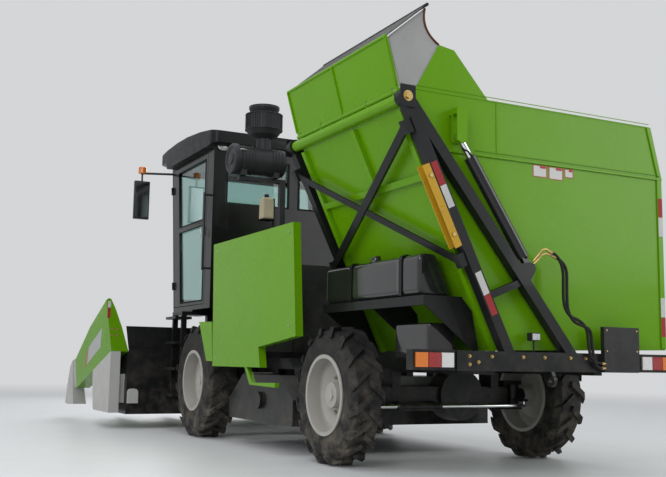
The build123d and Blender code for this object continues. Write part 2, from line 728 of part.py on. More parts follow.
# Air cleaner lying across behind the cab, with the mushroom pre-cleaner above it
CLEANER_X, CLEANER_Z, CLEANER_R = ax(2050), 2870, 142
PRE_Y = 850
with BuildPart() as air_intake:
    round_bar((CLEANER_X, 640, CLEANER_Z), (CLEANER_X, 1200, CLEANER_Z), CLEANER_R)
    with BuildSketch(Plane.XZ.offset(-PRE_Y)):
        with BuildLine():
            Polyline(
                (CLEANER_X, CLEANER_Z),
                (CLEANER_X + 75, CLEANER_Z),
                (CLEANER_X + 75, 3110),
                (CLEANER_X + 150, 3150),
                (CLEANER_X + 186, 3200),
                (CLEANER_X + 186, 3370),
                (CLEANER_X + 140, 3390),
                (CLEANER_X + 160, 3430),
                (CLEANER_X + 160, 3455),
                (CLEANER_X + 60, 3475),
                (CLEANER_X, 3475),
                (CLEANER_X, CLEANER_Z),
            )
        make_face()
    revolve(axis=Axis((CLEANER_X, PRE_Y, 0), (0, 0, 1)))
    # cradle on two posts from the engine deck
    block(CLEANER_X - 90, CLEANER_X + 90, 700, 760, 2700, CLEANER_Z - 100)
    block(CLEANER_X - 90, CLEANER_X + 90, 1060, 1120, 2700, CLEANER_Z - 100)
    block(CLEANER_X - 30, CLEANER_X + 30, 600, 1120, 2660, 2700)
    block(CLEANER_X - 30, CLEANER_X + 30, 600, 660, 1760, 2660)
    block(CLEANER_X - 30, CLEANER_X + 30, 560, 660, 1760, 1800)
save(air_intake.part, "air_intake")

# Fuel tank on its shelf beside the cob tank
FUEL_X0, FUEL_X1 = ax(-1150), ax(330)
FUEL_LOW, FUEL_HIGH = 1300, 1610
FUEL_OUT = 955
FUEL_LOW_IN, FUEL_HIGH_IN = 665, 805
FUEL_R = 45
FUEL_STRAP_XS = (ax(-900), ax(-120))
STRAP_WIDE, STRAP_THICK = 36, 4


def fuel_length(x, length, grow):
    """A length of the tank's rounded section, grown by a strap's thickness."""
    with BuildSketch(Plane.YZ.offset(x)) as section:
        with BuildLine():
            FilletPolyline(
                (FUEL_LOW_IN - grow, FUEL_LOW),
                (FUEL_OUT + grow, FUEL_LOW),
                (FUEL_OUT + grow, FUEL_HIGH + grow),
                (FUEL_HIGH_IN - grow, FUEL_HIGH + grow),
                radius=FUEL_R,
                close=True,
            )
        make_face()
    extrude(section.sketch, amount=length)


with BuildPart() as fuel_tank:
    fuel_length(FUEL_X0, FUEL_X1 - FUEL_X0, 0)
    for strap_x in FUEL_STRAP_XS:
        fuel_length(strap_x, STRAP_WIDE, STRAP_THICK)
    round_bar((ax(-400), 870, FUEL_HIGH - 20), (ax(-400), 890, FUEL_HIGH + 45), 42)
save(fuel_tank.part, "fuel_tank")

with BuildPart() as tank_shelf:
    block(ax(-1240), ax(345), 640, 975, FUEL_LOW - 12, FUEL_LOW)
    block(ax(-1240), ax(345), 945, 975, 1230, FUEL_LOW - 12)
    for x0 in (ax(-1240), ax(-500), ax(305)):
        under_tank = FUEL_LOW - 12
        arm = ((500, 905), (540, 905), (960, 1230), (960, under_tank), (640, under_tank), (560, 1200))
        cross_plate(arm, x0, x0 + 12)
save(tank_shelf.part, "tank_shelf")

with BuildPart() as hydraulic_reservoir:
    block(ax(-1150), ax(-680), 625, 870, 855, 1110)
    block(ax(-1150), ax(-680), REAR_RAIL_OUT, 625, 855, 900)
save(hydraulic_reservoir.part, "hydraulic_reservoir")

# Lamp boxes at both ends of the rear beam
LAMP_IN, LAMP_OUT = 855, 1200
LAMP_LOW, LAMP_HIGH = 773, 912
with BuildPart() as tail_lamps:
    for side in (-1, 1):
        y0, y1 = sorted((side * LAMP_IN, side * LAMP_OUT))
        block(BEAM_REAR_X, BEAM_FRONT_X, y0, y1, LAMP_LOW, LAMP_HIGH)
        y0, y1 = sorted((side * BEAM_HALF, side * LAMP_IN))
        block(BEAM_REAR_X + 20, BEAM_FRONT_X - 20, y0, y1, LAMP_LOW + 30, LAMP_HIGH - 30)
save(tail_lamps.part, "tail_lamps")

with BuildPart() as lamp_lenses:
    for side in (-1, 1):
        for index in range(3):
            lens_y = side * (LAMP_IN + 17 + index * 105)
            y0, y1 = sorted((lens_y, lens_y + side * 98))
            block(BEAM_REAR_X - 12, BEAM_REAR_X, y0, y1, LAMP_LOW + 20, LAMP_HIGH - 20)
save(lamp_lenses.part, "lamp_lenses")

# Two A-frames that carry the tank's hinge pins, with their left-side braces
FOOT_Z = BEAM_HIGH
LEG_DY = LEG_1_FOOT_Y - TIP_Y
LEG_DZ = FOOT_Z - TIP_Z
LEG_LEN = hypot(LEG_DY, LEG_DZ)
LEG_OUT = (-LEG_DZ / LEG_LEN, LEG_DY / LEG_LEN)
BRACE_OFF = 85
LEG_1_HALF = 44
LEG_1_OUT = LEG_1_HALF * LEG_OUT[0]
PROP_DEEP = 59


def on_leg(share, off=0):
    """Y and Z on leg 1 at a share of its length from the pin, and some distance outside it."""
    return (
        TIP_Y + share * LEG_DY + off * LEG_OUT[0],
        TIP_Z + share * LEG_DZ + off * LEG_OUT[1],
    )


def leg_2_y(z):
    """Y of leg 2 at a height."""
    return TIP_Y + (LEG_2_FOOT_Y - TIP_Y) * (TIP_Z - z) / (TIP_Z - FOOT_Z)


with BuildPart() as tipping_frame:
    for frame_x, foot in ((REAR_A_X, FOOT_Z), (FRONT_A_X, RAIL_HIGH)):
        half = LEG_WIDTH / 2
        leg_1 = (
            (TIP_Y + LEG_1_HALF, TIP_Z),
            (LEG_1_FOOT_Y + LEG_1_HALF, foot),
            (LEG_1_FOOT_Y - LEG_1_HALF, foot),
            (TIP_Y - LEG_1_HALF, TIP_Z),
        )
        leg_2 = (
            (TIP_Y + 40, TIP_Z),
            (LEG_2_FOOT_Y + 52, foot),
            (LEG_2_FOOT_Y - 52, foot),
            (TIP_Y - 64, TIP_Z),
        )
        cross_plate(leg_1, frame_x - half, frame_x + half)
        cross_plate(leg_2, frame_x - half, frame_x + half)
        round_bar((frame_x - half, TIP_Y, TIP_Z), (frame_x + half, TIP_Y, TIP_Z), 62)
        round_bar(
            (frame_x - half - 5, TIP_Y, TIP_Z),
            (frame_x + half + 5, TIP_Y, TIP_Z),
            PIVOT_PIN_R + PIN_GAP,
            mode=Mode.SUBTRACT,
        )
        box_bar((frame_x, 570, 1290), (frame_x, leg_2_y(1420), 1420), 50, 50)
        # ears with the tipping cylinder's lower pin
        for ear_x in (frame_x - EAR_IN - EAR, frame_x + EAR_IN):
            cross_plate(
                (
                    (leg_2_y(1540) - 20, 1540),
                    (leg_2_y(1400) - 20, 1400),
                    (CYL_LOW_Y - 20, CYL_LOW_Z - 48),
                    (CYL_LOW_Y - 42, CYL_LOW_Z - 10),
                    (CYL_LOW_Y - 30, CYL_LOW_Z + 30),
                    (CYL_LOW_Y + 10, CYL_LOW_Z + 40),
                ),
                ear_x,
                ear_x + EAR,
            )
        round_bar(
            (frame_x - EAR_IN - EAR, CYL_LOW_Y, CYL_LOW_Z),
            (frame_x + EAR_IN + EAR, CYL_LOW_Y, CYL_LOW_Z),
            TIP_PIN_R,
        )
    # crossing braces on the left, outside the tank's ribbed wall
    for rear_share, front_share, across in ((0.10, 0.56, 60), (0.62, 0.12, 12)):
        rear_y, rear_z = on_leg(rear_share, BRACE_OFF)
        front_y, front_z = on_leg(front_share, BRACE_OFF)
        start = Vector(REAR_A_X, rear_y, rear_z)
        end = Vector(FRONT_A_X, front_y, front_z)
        with BuildSketch(Plane(origin=start, x_dir=(0, *LEG_OUT), z_dir=end - start)):
            Rectangle(min(across, 30), 60)
        extrude(amount=(end - start).length)
        for frame_x, share in ((REAR_A_X, rear_share), (FRONT_A_X, front_share)):
            y0, z0 = on_leg(share, 20)
            y1, z1 = on_leg(share, BRACE_OFF + 20)
            box_bar((frame_x, y0, z0), (frame_x, y1, z1), 100, 60)
save(tipping_frame.part, "tipping_frame")

# Yellow safety prop stowed along the rear leg
with BuildPart() as safety_prop:
    y0, z0 = on_leg(0.25, LEG_1_OUT + PROP_DEEP / 2)
    y1, z1 = on_leg(0.57, LEG_1_OUT + PROP_DEEP / 2)
    start, end = Vector(REAR_A_X, y0, z0), Vector(REAR_A_X, y1, z1)
    with BuildSketch(Plane(origin=start, x_dir=(1, 0, 0), z_dir=end - start)):
        Rectangle(LEG_WIDTH, PROP_DEEP)
        with Locations((0, -7)):
            Rectangle(LEG_WIDTH - 14, PROP_DEEP, mode=Mode.SUBTRACT)
    extrude(amount=(end - start).length)
save(safety_prop.part, "safety_prop")

with BuildPart() as valve_box:
    block(ax(-REAR_OVERHANG), BEAM_REAR_X, -810, -460, 775, 1110)
save(valve_box.part, "valve_box")

# Stalk shredder under the belly: an open-bottomed hood with end plates
SHRED_X0, SHRED_X1 = ax(760), ax(2300)
SHRED_HALF = 1050
SHRED_SHEET = 12
ROTOR_X, ROTOR_Z = ax(1500), 450
SHRED_OUTLINE = (
    (SHRED_X0, 250),
    (SHRED_X0, 480),
    (ax(1050), 690),
    (ax(1950), 690),
    (SHRED_X1, 450),
    (SHRED_X1, 250),
)
with BuildPart() as stalk_shredder:
    side_plate(SHRED_OUTLINE, -SHRED_HALF, SHRED_HALF)
    side_plate(
        (
            (SHRED_X0 + SHRED_SHEET, 240),
            (SHRED_X0 + SHRED_SHEET, 474),
            (ax(1055), 690 - SHRED_SHEET),
            (ax(1945), 690 - SHRED_SHEET),
            (SHRED_X1 - SHRED_SHEET, 444),
            (SHRED_X1 - SHRED_SHEET, 240),
        ),
        -SHRED_HALF + SHRED_SHEET,
        SHRED_HALF - SHRED_SHEET,
        mode=Mode.SUBTRACT,
    )
    for side in (-1, 1):
        y0, y1 = sorted((side * (FRONT_RAIL_OUT - RAIL_WIDTH), side * FRONT_RAIL_OUT))
        block(ax(1200), ax(1320), y0, y1, 690, RAIL_LOW)
        block(ax(1700), ax(1820), y0, y1, 690, RAIL_LOW)
        round_bar((ROTOR_X, side * SHRED_HALF, ROTOR_Z), (ROTOR_X, side * (SHRED_HALF + 35), ROTOR_Z), 80)
save(stalk_shredder.part, "stalk_shredder")

with BuildPart() as shredder_rotor:
    rotor_half = SHRED_HALF - SHRED_SHEET - SEAT_GAP
    round_bar((ROTOR_X, -rotor_half, ROTOR_Z), (ROTOR_X, rotor_half, ROTOR_Z), 70)
    for index in range(12):
        flail_y = -935 + index * 170
        angle = index * 75
        with Locations(Location((ROTOR_X, flail_y, ROTOR_Z), (0, angle, 0))):
            Box(370, 40, 30)
save(shredder_rotor.part, "shredder_rotor")

# Ear elevator from under the cab up to the tank's front wall
ELEV_Y0, ELEV_Y1 = -675, -125
ELEV_LOW = (ax(3130), 1000)
ELEV_TOP = (ax(480), 2930)
ELEV_DEEP = 300
ELEV_LEG = 50
elev_len = hypot(ELEV_TOP[0] - ELEV_LOW[0], ELEV_TOP[1] - ELEV_LOW[1])
elev_dir = unit(ELEV_LOW, ELEV_TOP)
ELEV_PLANE = Plane(
    origin=(ELEV_LOW[0], ELEV_Y1, ELEV_LOW[1]),
    x_dir=(elev_dir[0], 0, elev_dir[1]),
    z_dir=(0, -1, 0),
)
with BuildPart() as elevator_housing:
    with BuildSketch(ELEV_PLANE):
        with Locations((elev_len / 2, 0)):
            Rectangle(elev_len, ELEV_DEEP)
    extrude(amount=ELEV_Y1 - ELEV_Y0)
    # discharge head over the tank's front wall
    side_plate(
        ((ax(300), 2790), (ax(620), 2790), (ax(700), 2960), (ax(520), 3120), (ax(300), 3000)), ELEV_Y0, ELEV_Y1
    )

# legs from the frame to the housing's underside
with BuildPart() as elevator_legs:
    for leg_x, top in ((ax(2370), 1400), (ax(920), 2450)):
        for leg_y in (ELEV_Y0, ELEV_Y1 - ELEV_LEG):
            block(leg_x, leg_x + ELEV_LEG, leg_y, leg_y + ELEV_LEG, RAIL_HIGH, top)
    add(elevator_housing.part, mode=Mode.SUBTRACT)
save_several((elevator_housing.part, elevator_legs.part), "ear_elevator")

# Header, hinged at the frame
HEAD_REAR_X = ax(4350)
HEAD_HALF = 1850
HEAD_SHEET = 12
HEAD_TOP = 1210
HEAD_LOW = 170
END_IN = HEAD_HALF - 294
WALL_TOP_HALF = END_IN + 44
WALL_RAIL = 60
LEDGE_Z, LEDGE_HIGH, LEDGE_DEEP = 968, 18, 16
AUGER_X, AUGER_Z = ax(4650), 470
AUGER_R = 165
AUGER_TUBE_R = 70
TROUGH_R = AUGER_R + 20
TROUGH_SHEET = 8
TOOLBAR_X0, TOOLBAR_X1 = ax(4860), ax(4940)
TOOLBAR_LOW, TOOLBAR_HIGH = 460, 570
HOOD_REAR = (ax(4370), 908)
HOOD_FRONT = (ax(6140), 424)
FEED_Y0, FEED_Y1 = ELEV_Y0, ELEV_Y1
FEED_TOP, FEED_LOW = 960, 480
COVER_IN, COVER_OUT = HEAD_HALF - 200, HEAD_HALF - 80
COVER_LOW, COVER_SHOULDER = 188, 600
COVER_FRONT_X, COVER_TOE_X = ax(5236), ax(5150)
COVER_TOE_R = 60
GEAR_X0, GEAR_X1 = ax(4450), ax(5130)
GEAR_LOW, GEAR_HIGH = 300, 640
GUARD_IN, GUARD_OUT, GUARD_DEEP = END_IN - 116, END_IN + 4, 60
GUARD_LOW, GUARD_HIGH, GUARD_R = 300, 470, 45


def hood_low(x):
    """Height of the outer hood's straight lower edge."""
    share = (x - HOOD_REAR[0]) / (HOOD_FRONT[0] - HOOD_REAR[0])
    return HOOD_REAR[1] + share * (HOOD_FRONT[1] - HOOD_REAR[1])


with BuildPart() as header_frame:
    # back wall, leaning out at its top corners to meet the outer hoods
    cross_plate(
        (
            (-END_IN, HEAD_LOW),
            (END_IN, HEAD_LOW),
            (END_IN, HOOD_REAR[1]),
            (WALL_TOP_HALF, HEAD_TOP),
            (-WALL_TOP_HALF, HEAD_TOP),
            (-END_IN, HOOD_REAR[1]),
        ),
        HEAD_REAR_X,
        HEAD_REAR_X + HEAD_SHEET,
    )
    block(HEAD_REAR_X, HEAD_REAR_X + WALL_RAIL, -END_IN, END_IN, HEAD_TOP - WALL_RAIL, HEAD_TOP)
    block(HEAD_REAR_X - LEDGE_DEEP, HEAD_REAR_X, -END_IN, END_IN, LEDGE_Z, LEDGE_Z + LEDGE_HIGH)
    # trough under the auger, with a flat ledge behind and before it
    with BuildSketch(Plane.XZ.offset(-END_IN)):
        with Locations((AUGER_X, AUGER_Z)):
            Circle(TROUGH_R + TROUGH_SHEET)
            Circle(TROUGH_R, mode=Mode.SUBTRACT)
        with Locations((AUGER_X, AUGER_Z + TROUGH_R)):
            Rectangle(3 * TROUGH_R, 2 * TROUGH_R, mode=Mode.SUBTRACT)
    extrude(amount=2 * END_IN)
    block(HEAD_REAR_X, AUGER_X - TROUGH_R, -END_IN, END_IN, AUGER_Z - TROUGH_SHEET, AUGER_Z)
    block(AUGER_X + TROUGH_R, TOOLBAR_X0, -END_IN, END_IN, AUGER_Z - TROUGH_SHEET, AUGER_Z)
    block(TOOLBAR_X0, TOOLBAR_X1, -END_IN, END_IN, TOOLBAR_LOW, TOOLBAR_HIGH)
    for side in (-1, 1):
        # end plate, its upper edge under the hood
        side_plate(
            (
                (HEAD_REAR_X, HEAD_LOW),
                (TOOLBAR_X1, HEAD_LOW),
                (TOOLBAR_X1, hood_low(TOOLBAR_X1)),
                (HEAD_REAR_X, hood_low(HEAD_REAR_X)),
            ),
            *pair(END_IN, END_IN + HEAD_SHEET, side),
        )
        # ears with the lift cylinder's pin
        for ear_y in (side * LIFT_CYL_Y - EAR_IN - EAR, side * LIFT_CYL_Y + EAR_IN):
            side_plate(
                (
                    (HEAD_REAR_X, LIFT_TOP_Z - 90),
                    (HEAD_REAR_X, LIFT_TOP_Z + 90),
                    (LIFT_TOP_X + 20, LIFT_TOP_Z + 42),
                    (LIFT_TOP_X - 30, LIFT_TOP_Z + 30),
                    (LIFT_TOP_X - 42, LIFT_TOP_Z),
                    (LIFT_TOP_X - 30, LIFT_TOP_Z - 30),
                    (LIFT_TOP_X + 20, LIFT_TOP_Z - 42),
                ),
                ear_y,
                ear_y + EAR,
            )
        round_bar(
            (LIFT_TOP_X, side * LIFT_CYL_Y - EAR_IN - EAR, LIFT_TOP_Z),
            (LIFT_TOP_X, side * LIFT_CYL_Y + EAR_IN + EAR, LIFT_TOP_Z),
            LIFT_PIN_R,
        )
    # throat to the feeder
    x0, x1 = HEAD_REAR_X - 10, HEAD_REAR_X + HEAD_SHEET + 10
    cut_block(x0, x1, FEED_Y0 + 40, FEED_Y1 - 40, FEED_LOW + 40, FEED_TOP - 40)
save(header_frame.part, "header_frame")

# Feeder house on the hinge tube, with a plain arm on the other side
ARM_Y0, ARM_Y1 = 560, 640
with BuildPart() as feeder_house:
    with BuildSketch(Plane.XZ.offset(-FEED_Y1)):
        with Locations((LIFT_X, LIFT_Z)):
            Circle(150)
        Polygon(
            (LIFT_X, LIFT_Z + 150),
            (HEAD_REAR_X, FEED_TOP),
            (HEAD_REAR_X, FEED_LOW),
            (LIFT_X, LIFT_Z - 150),
            align=None,
        )
    extrude(amount=FEED_Y1 - FEED_Y0)
    round_bar((LIFT_X, -LIFT_LUG_Y1, LIFT_Z), (LIFT_X, LIFT_LUG_Y1, LIFT_Z), LIFT_TUBE_R)
    side_plate(
        (
            (LIFT_X, LIFT_Z + LIFT_TUBE_R),
            (HEAD_REAR_X, FEED_TOP),
            (HEAD_REAR_X, FEED_TOP - 140),
            (LIFT_X, LIFT_Z - LIFT_TUBE_R),
        ),
        ARM_Y0,
        ARM_Y1,
    )
save(feeder_house.part, "feeder_house")

FLIGHT_PITCH = 330
FLIGHT_SHEET = 8
FLIGHT_STEPS = 10
FLIGHT_ROOT = 14
PADDLE_SHEET = 10


def add_flight(y0, y1, hand):
    """A helical flight round the auger's tube from one Y to another."""
    count = round(FLIGHT_STEPS * abs(y1 - y0) / FLIGHT_PITCH)
    inner = AUGER_TUBE_R - FLIGHT_ROOT
    sections = []
    for index in range(count + 1):
        turn = radians(hand * index * 360 / FLIGHT_STEPS)
        plane = Plane(
            origin=(AUGER_X, y0 + (y1 - y0) * index / count, AUGER_Z),
            x_dir=(cos(turn), 0, sin(turn)),
            z_dir=(-sin(turn), 0, cos(turn)),
        )
        with BuildSketch(plane) as section:
            with Locations(((inner + AUGER_R) / 2, 0)):
                Rectangle(AUGER_R - inner, FLIGHT_SHEET)
        sections.append(section.sketch)
    loft(sections, ruled=True)


with BuildPart() as header_auger:
    half = END_IN - SEAT_GAP
    round_bar((AUGER_X, -half, AUGER_Z), (AUGER_X, half, AUGER_Z), AUGER_TUBE_R)
    add_flight(END_IN - 2 * FLIGHT_SHEET, FEED_Y1, 1)
    add_flight(-END_IN + 2 * FLIGHT_SHEET, FEED_Y0, -1)
    # paddles that throw the ears into the feeder
    for angle in (0, 90):
        with Locations(Location((AUGER_X, (FEED_Y0 + FEED_Y1) / 2, AUGER_Z), (0, angle, 0))):
            Box(2 * AUGER_R - 20, FEED_Y1 - FEED_Y0 - 60, PADDLE_SHEET)
save(header_auger.part, "header_auger")

# Row units, five of them: deck plates with a slot, gearbox, snapping rolls and gathering chains
ROW_PITCH = (END_IN - 256) / 2
ROWS = [ROW_PITCH * (index - 2) for index in range(5)]
DECK_REAR = (TOOLBAR_X1, 640)
DECK_FRONT = (ax(6250), 300)
DECK_DIR = unit(DECK_REAR, DECK_FRONT)
DECK_LEN = hypot(DECK_FRONT[0] - DECK_REAR[0], DECK_FRONT[1] - DECK_REAR[1])
DECK_SHEET = 10
SLOT_HALF = 30
UNIT_HALF = 160
GEARBOX_END = 200
CHAIN_Y = 85
CHAIN_HALF = 35
CHAIN_HIGH = 16
FINGER = 38


def deck_plane(y, lift=0):
    """A plane along the deck: x down the row, y to the left, lifted square to the deck."""
    up = (-DECK_DIR[1], DECK_DIR[0])
    return Plane(
        origin=(DECK_REAR[0] + lift * up[0], y, DECK_REAR[1] + lift * up[1]),
        x_dir=(DECK_DIR[0], 0, DECK_DIR[1]),
        z_dir=(up[0], 0, up[1]),
    )


def deck_box(row_y, s0, s1, y0, y1, low, high):
    """A box laid along the deck of one row."""
    with BuildSketch(deck_plane(row_y, low)) as outline:
        with Locations(((s0 + s1) / 2, (y0 + y1) / 2)):
            Rectangle(s1 - s0, y1 - y0)
    extrude(outline.sketch, amount=high - low)


with BuildPart() as row_units:
    for row_y in ROWS:
        deck_box(row_y, 60, GEARBOX_END, -UNIT_HALF, UNIT_HALF, -150, 0)
        block(TOOLBAR_X1, TOOLBAR_X1 + 70, row_y - UNIT_HALF, row_y + UNIT_HALF, TOOLBAR_LOW, TOOLBAR_HIGH)
        for side in (-1, 1):
            y0, y1 = sorted((side * SLOT_HALF, side * UNIT_HALF))
            deck_box(row_y, 10, DECK_LEN, y0, y1, 0, DECK_SHEET)
            y0, y1 = sorted((side * (UNIT_HALF - 25), side * UNIT_HALF))
            deck_box(row_y, 40, DECK_LEN - 60, y0, y1, -90, 0)
save(row_units.part, "row_units")

ROLL_R = 30
with BuildPart() as snapping_rolls:
    for row_y in ROWS:
        for side in (-1, 1):
            with BuildSketch(
                Plane(
                    origin=deck_plane(row_y, -45).origin + Vector(DECK_DIR[0], 0, DECK_DIR[1]) * GEARBOX_END,
                    z_dir=(DECK_DIR[0], 0, DECK_DIR[1]),
                    x_dir=(0, 1, 0),
                )
            ):
                with Locations((side * (ROLL_R + 4), 0)):
                    Circle(ROLL_R)
            extrude(amount=DECK_LEN - GEARBOX_END - 90)
save(snapping_rolls.part, "snapping_rolls")

with BuildPart() as gathering_chains:
    for row_y in ROWS:
        for side in (-1, 1):
            with BuildSketch(deck_plane(row_y, DECK_SHEET)):
                with Locations((DECK_LEN / 2, side * CHAIN_Y)):
                    SlotOverall(DECK_LEN - 120, 2 * CHAIN_HALF)
                    SlotOverall(DECK_LEN - 144, 2 * CHAIN_HALF - 24, mode=Mode.SUBTRACT)
                for finger in range(6):
                    with Locations((150 + finger * 200, side * (CHAIN_Y - CHAIN_HALF - FINGER / 2 + 2))):
                        Rectangle(12, FINGER + 4)
                    with Locations((250 + finger * 180, side * (CHAIN_Y + CHAIN_HALF + FINGER / 2 - 2))):
                        Rectangle(12, FINGER + 4)
            extrude(amount=CHAIN_HIGH)
save(gathering_chains.part, "gathering_chains")

# Dividers: a tall hood with a plain snout before it; the outer ones lean out over the drives
NOSE_X = ax(6300)
# columns: X, how far in from HEAD_HALF the inner foot, outer foot, inner crown and outer crown lie, low, top
OUTER_HOOD = (
    (HOOD_REAR[0], 294, 88, 60, 0, HOOD_REAR[1], 1537),
    (ax(5200), 294, 86, 78, 15, hood_low(ax(5200)), 1240),
    (HOOD_FRONT[0], 260, 84, 125, 50, HOOD_FRONT[1], 812),
)
OUTER_NECK = (
    (HOOD_FRONT[0], 250, 94, 120, 60, 434, 802),
    (NOSE_X, 250, 94, 120, 60, 434, 802),
)
OUTER_SNOUT = (
    (NOSE_X, 260, 84, 125, 50, 204, 812),
    (ax(6460), 240, 86, 125, 55, 198, 727),
    (ax(6700), 190, 90, 135, 80, 186, 468),
    (TIP_X, 150, 110, 140, 115, 200, 240),
)
INNER_HALF = ROW_PITCH / 2 - UNIT_HALF - 15
# columns: X, half width, low, shoulder, top
INNER_HOOD = (
    (ax(4870), INNER_HALF, TOOLBAR_HIGH, TOOLBAR_HIGH + 60, 1130),
    (TOOLBAR_X1, INNER_HALF, TOOLBAR_HIGH, TOOLBAR_HIGH + 60, 1106),
    (ax(5550), INNER_HALF, 410, 480, 900),
    (HOOD_FRONT[0], INNER_HALF - 30, 300, 360, 670),
)
INNER_SNOUT = (
    (HOOD_FRONT[0], INNER_HALF - 35, 295, 350, 660),
    (ax(6600), INNER_HALF / 2, 200, 250, 420),
    (TIP_X - 20, 15, 140, 155, 185),
)
INNER_YS = [ROW_PITCH * (index - 1.5) for index in range(4)]
CROWN_FALL = 0.04
CREST_FALL = 0.018
# columns: share of the way down the inner flank, how far it swells there
FLANK = ((0.176, 14), (0.533, 17), (0.81, 7))


def outer_corners(foot_in, foot_out, crown_in, crown_out, low, top):
    """Corners of an outer hood's section on the left side."""
    deep = top - low
    swell = deep / (OUTER_HOOD[0][6] - OUTER_HOOD[0][5])
    crest = top - CREST_FALL * deep
    corners = [(foot_out, low), (crown_out, top - CROWN_FALL * deep)]
    corners += [((crown_in + crown_out) / 2, top), (crown_in, crest)]
    for share, out in FLANK:
        corners.append((crown_in + share * (foot_in - crown_in) - out * swell, crest - share * (crest - low)))
    return corners + [(foot_in, low)]


def outer_shell(rows, side):
    """A leaning shell through the sections of one side's outer divider."""
    sections = []
    for x, *insets, low, top in rows:
        edges = [HEAD_HALF - inset for inset in insets]
        with BuildSketch(Plane.YZ.offset(x)) as section:
            Polygon(*[(side * y, z) for y, z in outer_corners(*edges, low, top)], align=None)
        sections.append(section.sketch)
    loft(sections, ruled=True)


def inner_shell(rows, centre_y):
    """A straight-sided shell through the sections of an inner divider."""
    sections = []
    for x, half, low, shoulder, top in rows:
        with BuildSketch(Plane.YZ.offset(x)) as section:
            Polygon(
                (centre_y - half, low),
                (centre_y + half, low),
                (centre_y + half, shoulder),
                (centre_y + 0.12 * half, top),
                (centre_y - 0.12 * half, top),
                (centre_y - half, shoulder),
                align=None,
            )
        sections.append(section.sketch)
    loft(sections, ruled=True)


with BuildPart() as divider_hoods:
    for side in (-1, 1):
        outer_shell(OUTER_HOOD, side)
    for centre_y in INNER_YS:
        inner_shell(INNER_HOOD, centre_y)
save_several((divider_hoods.part,), "divider_hoods")

with BuildPart() as divider_snouts:
    for side in (-1, 1):
        outer_shell(OUTER_NECK, side)
        outer_shell(OUTER_SNOUT, side)
    for centre_y in INNER_YS:
        inner_shell(INNER_SNOUT, centre_y)
save_several((divider_snouts.part,), "divider_snouts")

# Drive covers under the outer hoods, each over its gear case, and the rounded guards behind the back wall
with BuildPart() as drive_covers:
    for side in (-1, 1):
        y0, y1 = pair(COVER_IN, COVER_OUT, side)
        with BuildSketch(Plane.XZ.offset(-y1)) as cover:
            Polygon(
                (HOOD_REAR[0], COVER_LOW),
                (COVER_TOE_X, COVER_LOW),
                (COVER_FRONT_X, COVER_SHOULDER),
                (COVER_FRONT_X, hood_low(COVER_FRONT_X)),
                HOOD_REAR,
                align=None,
            )
            fillet(cover.vertices().sort_by_distance((COVER_TOE_X, COVER_LOW, 0))[0], COVER_TOE_R)
        extrude(amount=y1 - y0)
        block(GEAR_X0, GEAR_X1, *pair(END_IN + HEAD_SHEET, COVER_IN, side), GEAR_LOW, GEAR_HIGH)
    for side in (-1, 1):
        y0, y1 = pair(GUARD_IN, GUARD_OUT, side)
        with BuildSketch(Plane.YZ.offset(HEAD_REAR_X - GUARD_DEEP)) as guard:
            with Locations(((y0 + y1) / 2, (GUARD_LOW + GUARD_HIGH) / 2)):
                Rectangle(y1 - y0, GUARD_HIGH - GUARD_LOW)
            fillet(guard.vertices().sort_by(Axis.Y)[-2:], GUARD_R)
        extrude(amount=GUARD_DEEP)
save_several((drive_covers.part,), "drive_covers")

# Lift cylinders between the front axle and the header
lift_dir = unit((LIFT_LOW_X, LIFT_LOW_Z), (LIFT_TOP_X, LIFT_TOP_Z))
lift_len = hypot(LIFT_TOP_X - LIFT_LOW_X, LIFT_TOP_Z - LIFT_LOW_Z)
LIFT_ROD_R = 18


def along_lift(y, distance):
    return (LIFT_LOW_X + distance * lift_dir[0], y, LIFT_LOW_Z + distance * lift_dir[1])


with BuildPart() as lift_barrels:
    for cyl_y in (-LIFT_CYL_Y, LIFT_CYL_Y):
        round_bar(along_lift(cyl_y, 80), along_lift(cyl_y, 860), 35)
        round_bar(along_lift(cyl_y, 140), along_lift(cyl_y, 861), LIFT_ROD_R + PIN_GAP, mode=Mode.SUBTRACT)
        with BuildSketch(Plane.XZ.offset(-cyl_y - EYE_HALF)):
            with Locations((LIFT_LOW_X, LIFT_LOW_Z)):
                Circle(32)
            base = ((0, -20), (100, -20), (100, 20), (0, 20))
            Polygon(*[on_unit((LIFT_LOW_X, LIFT_LOW_Z), s, w, lift_dir) for s, w in base], align=None)
            with Locations((LIFT_LOW_X, LIFT_LOW_Z)):
                Circle(LIFT_PIN_R + PIN_GAP, mode=Mode.SUBTRACT)
        extrude(amount=2 * EYE_HALF)
save(lift_barrels.part, "lift_barrels")

with BuildPart() as lift_rods:
    for cyl_y in (-LIFT_CYL_Y, LIFT_CYL_Y):
        round_bar(along_lift(cyl_y, 400), along_lift(cyl_y, lift_len - 25), LIFT_ROD_R)
        with BuildSketch(Plane.XZ.offset(-cyl_y - EYE_HALF)):
            with Locations((LIFT_TOP_X, LIFT_TOP_Z)):
                Circle(34)
        extrude(amount=2 * EYE_HALF)
        round_bar(
            (LIFT_TOP_X, cyl_y - EYE_HALF - 1, LIFT_TOP_Z),
            (LIFT_TOP_X, cyl_y + EYE_HALF + 1, LIFT_TOP_Z),
            LIFT_PIN_R + 4,
            mode=Mode.SUBTRACT,
        )
save(lift_rods.part, "lift_rods")

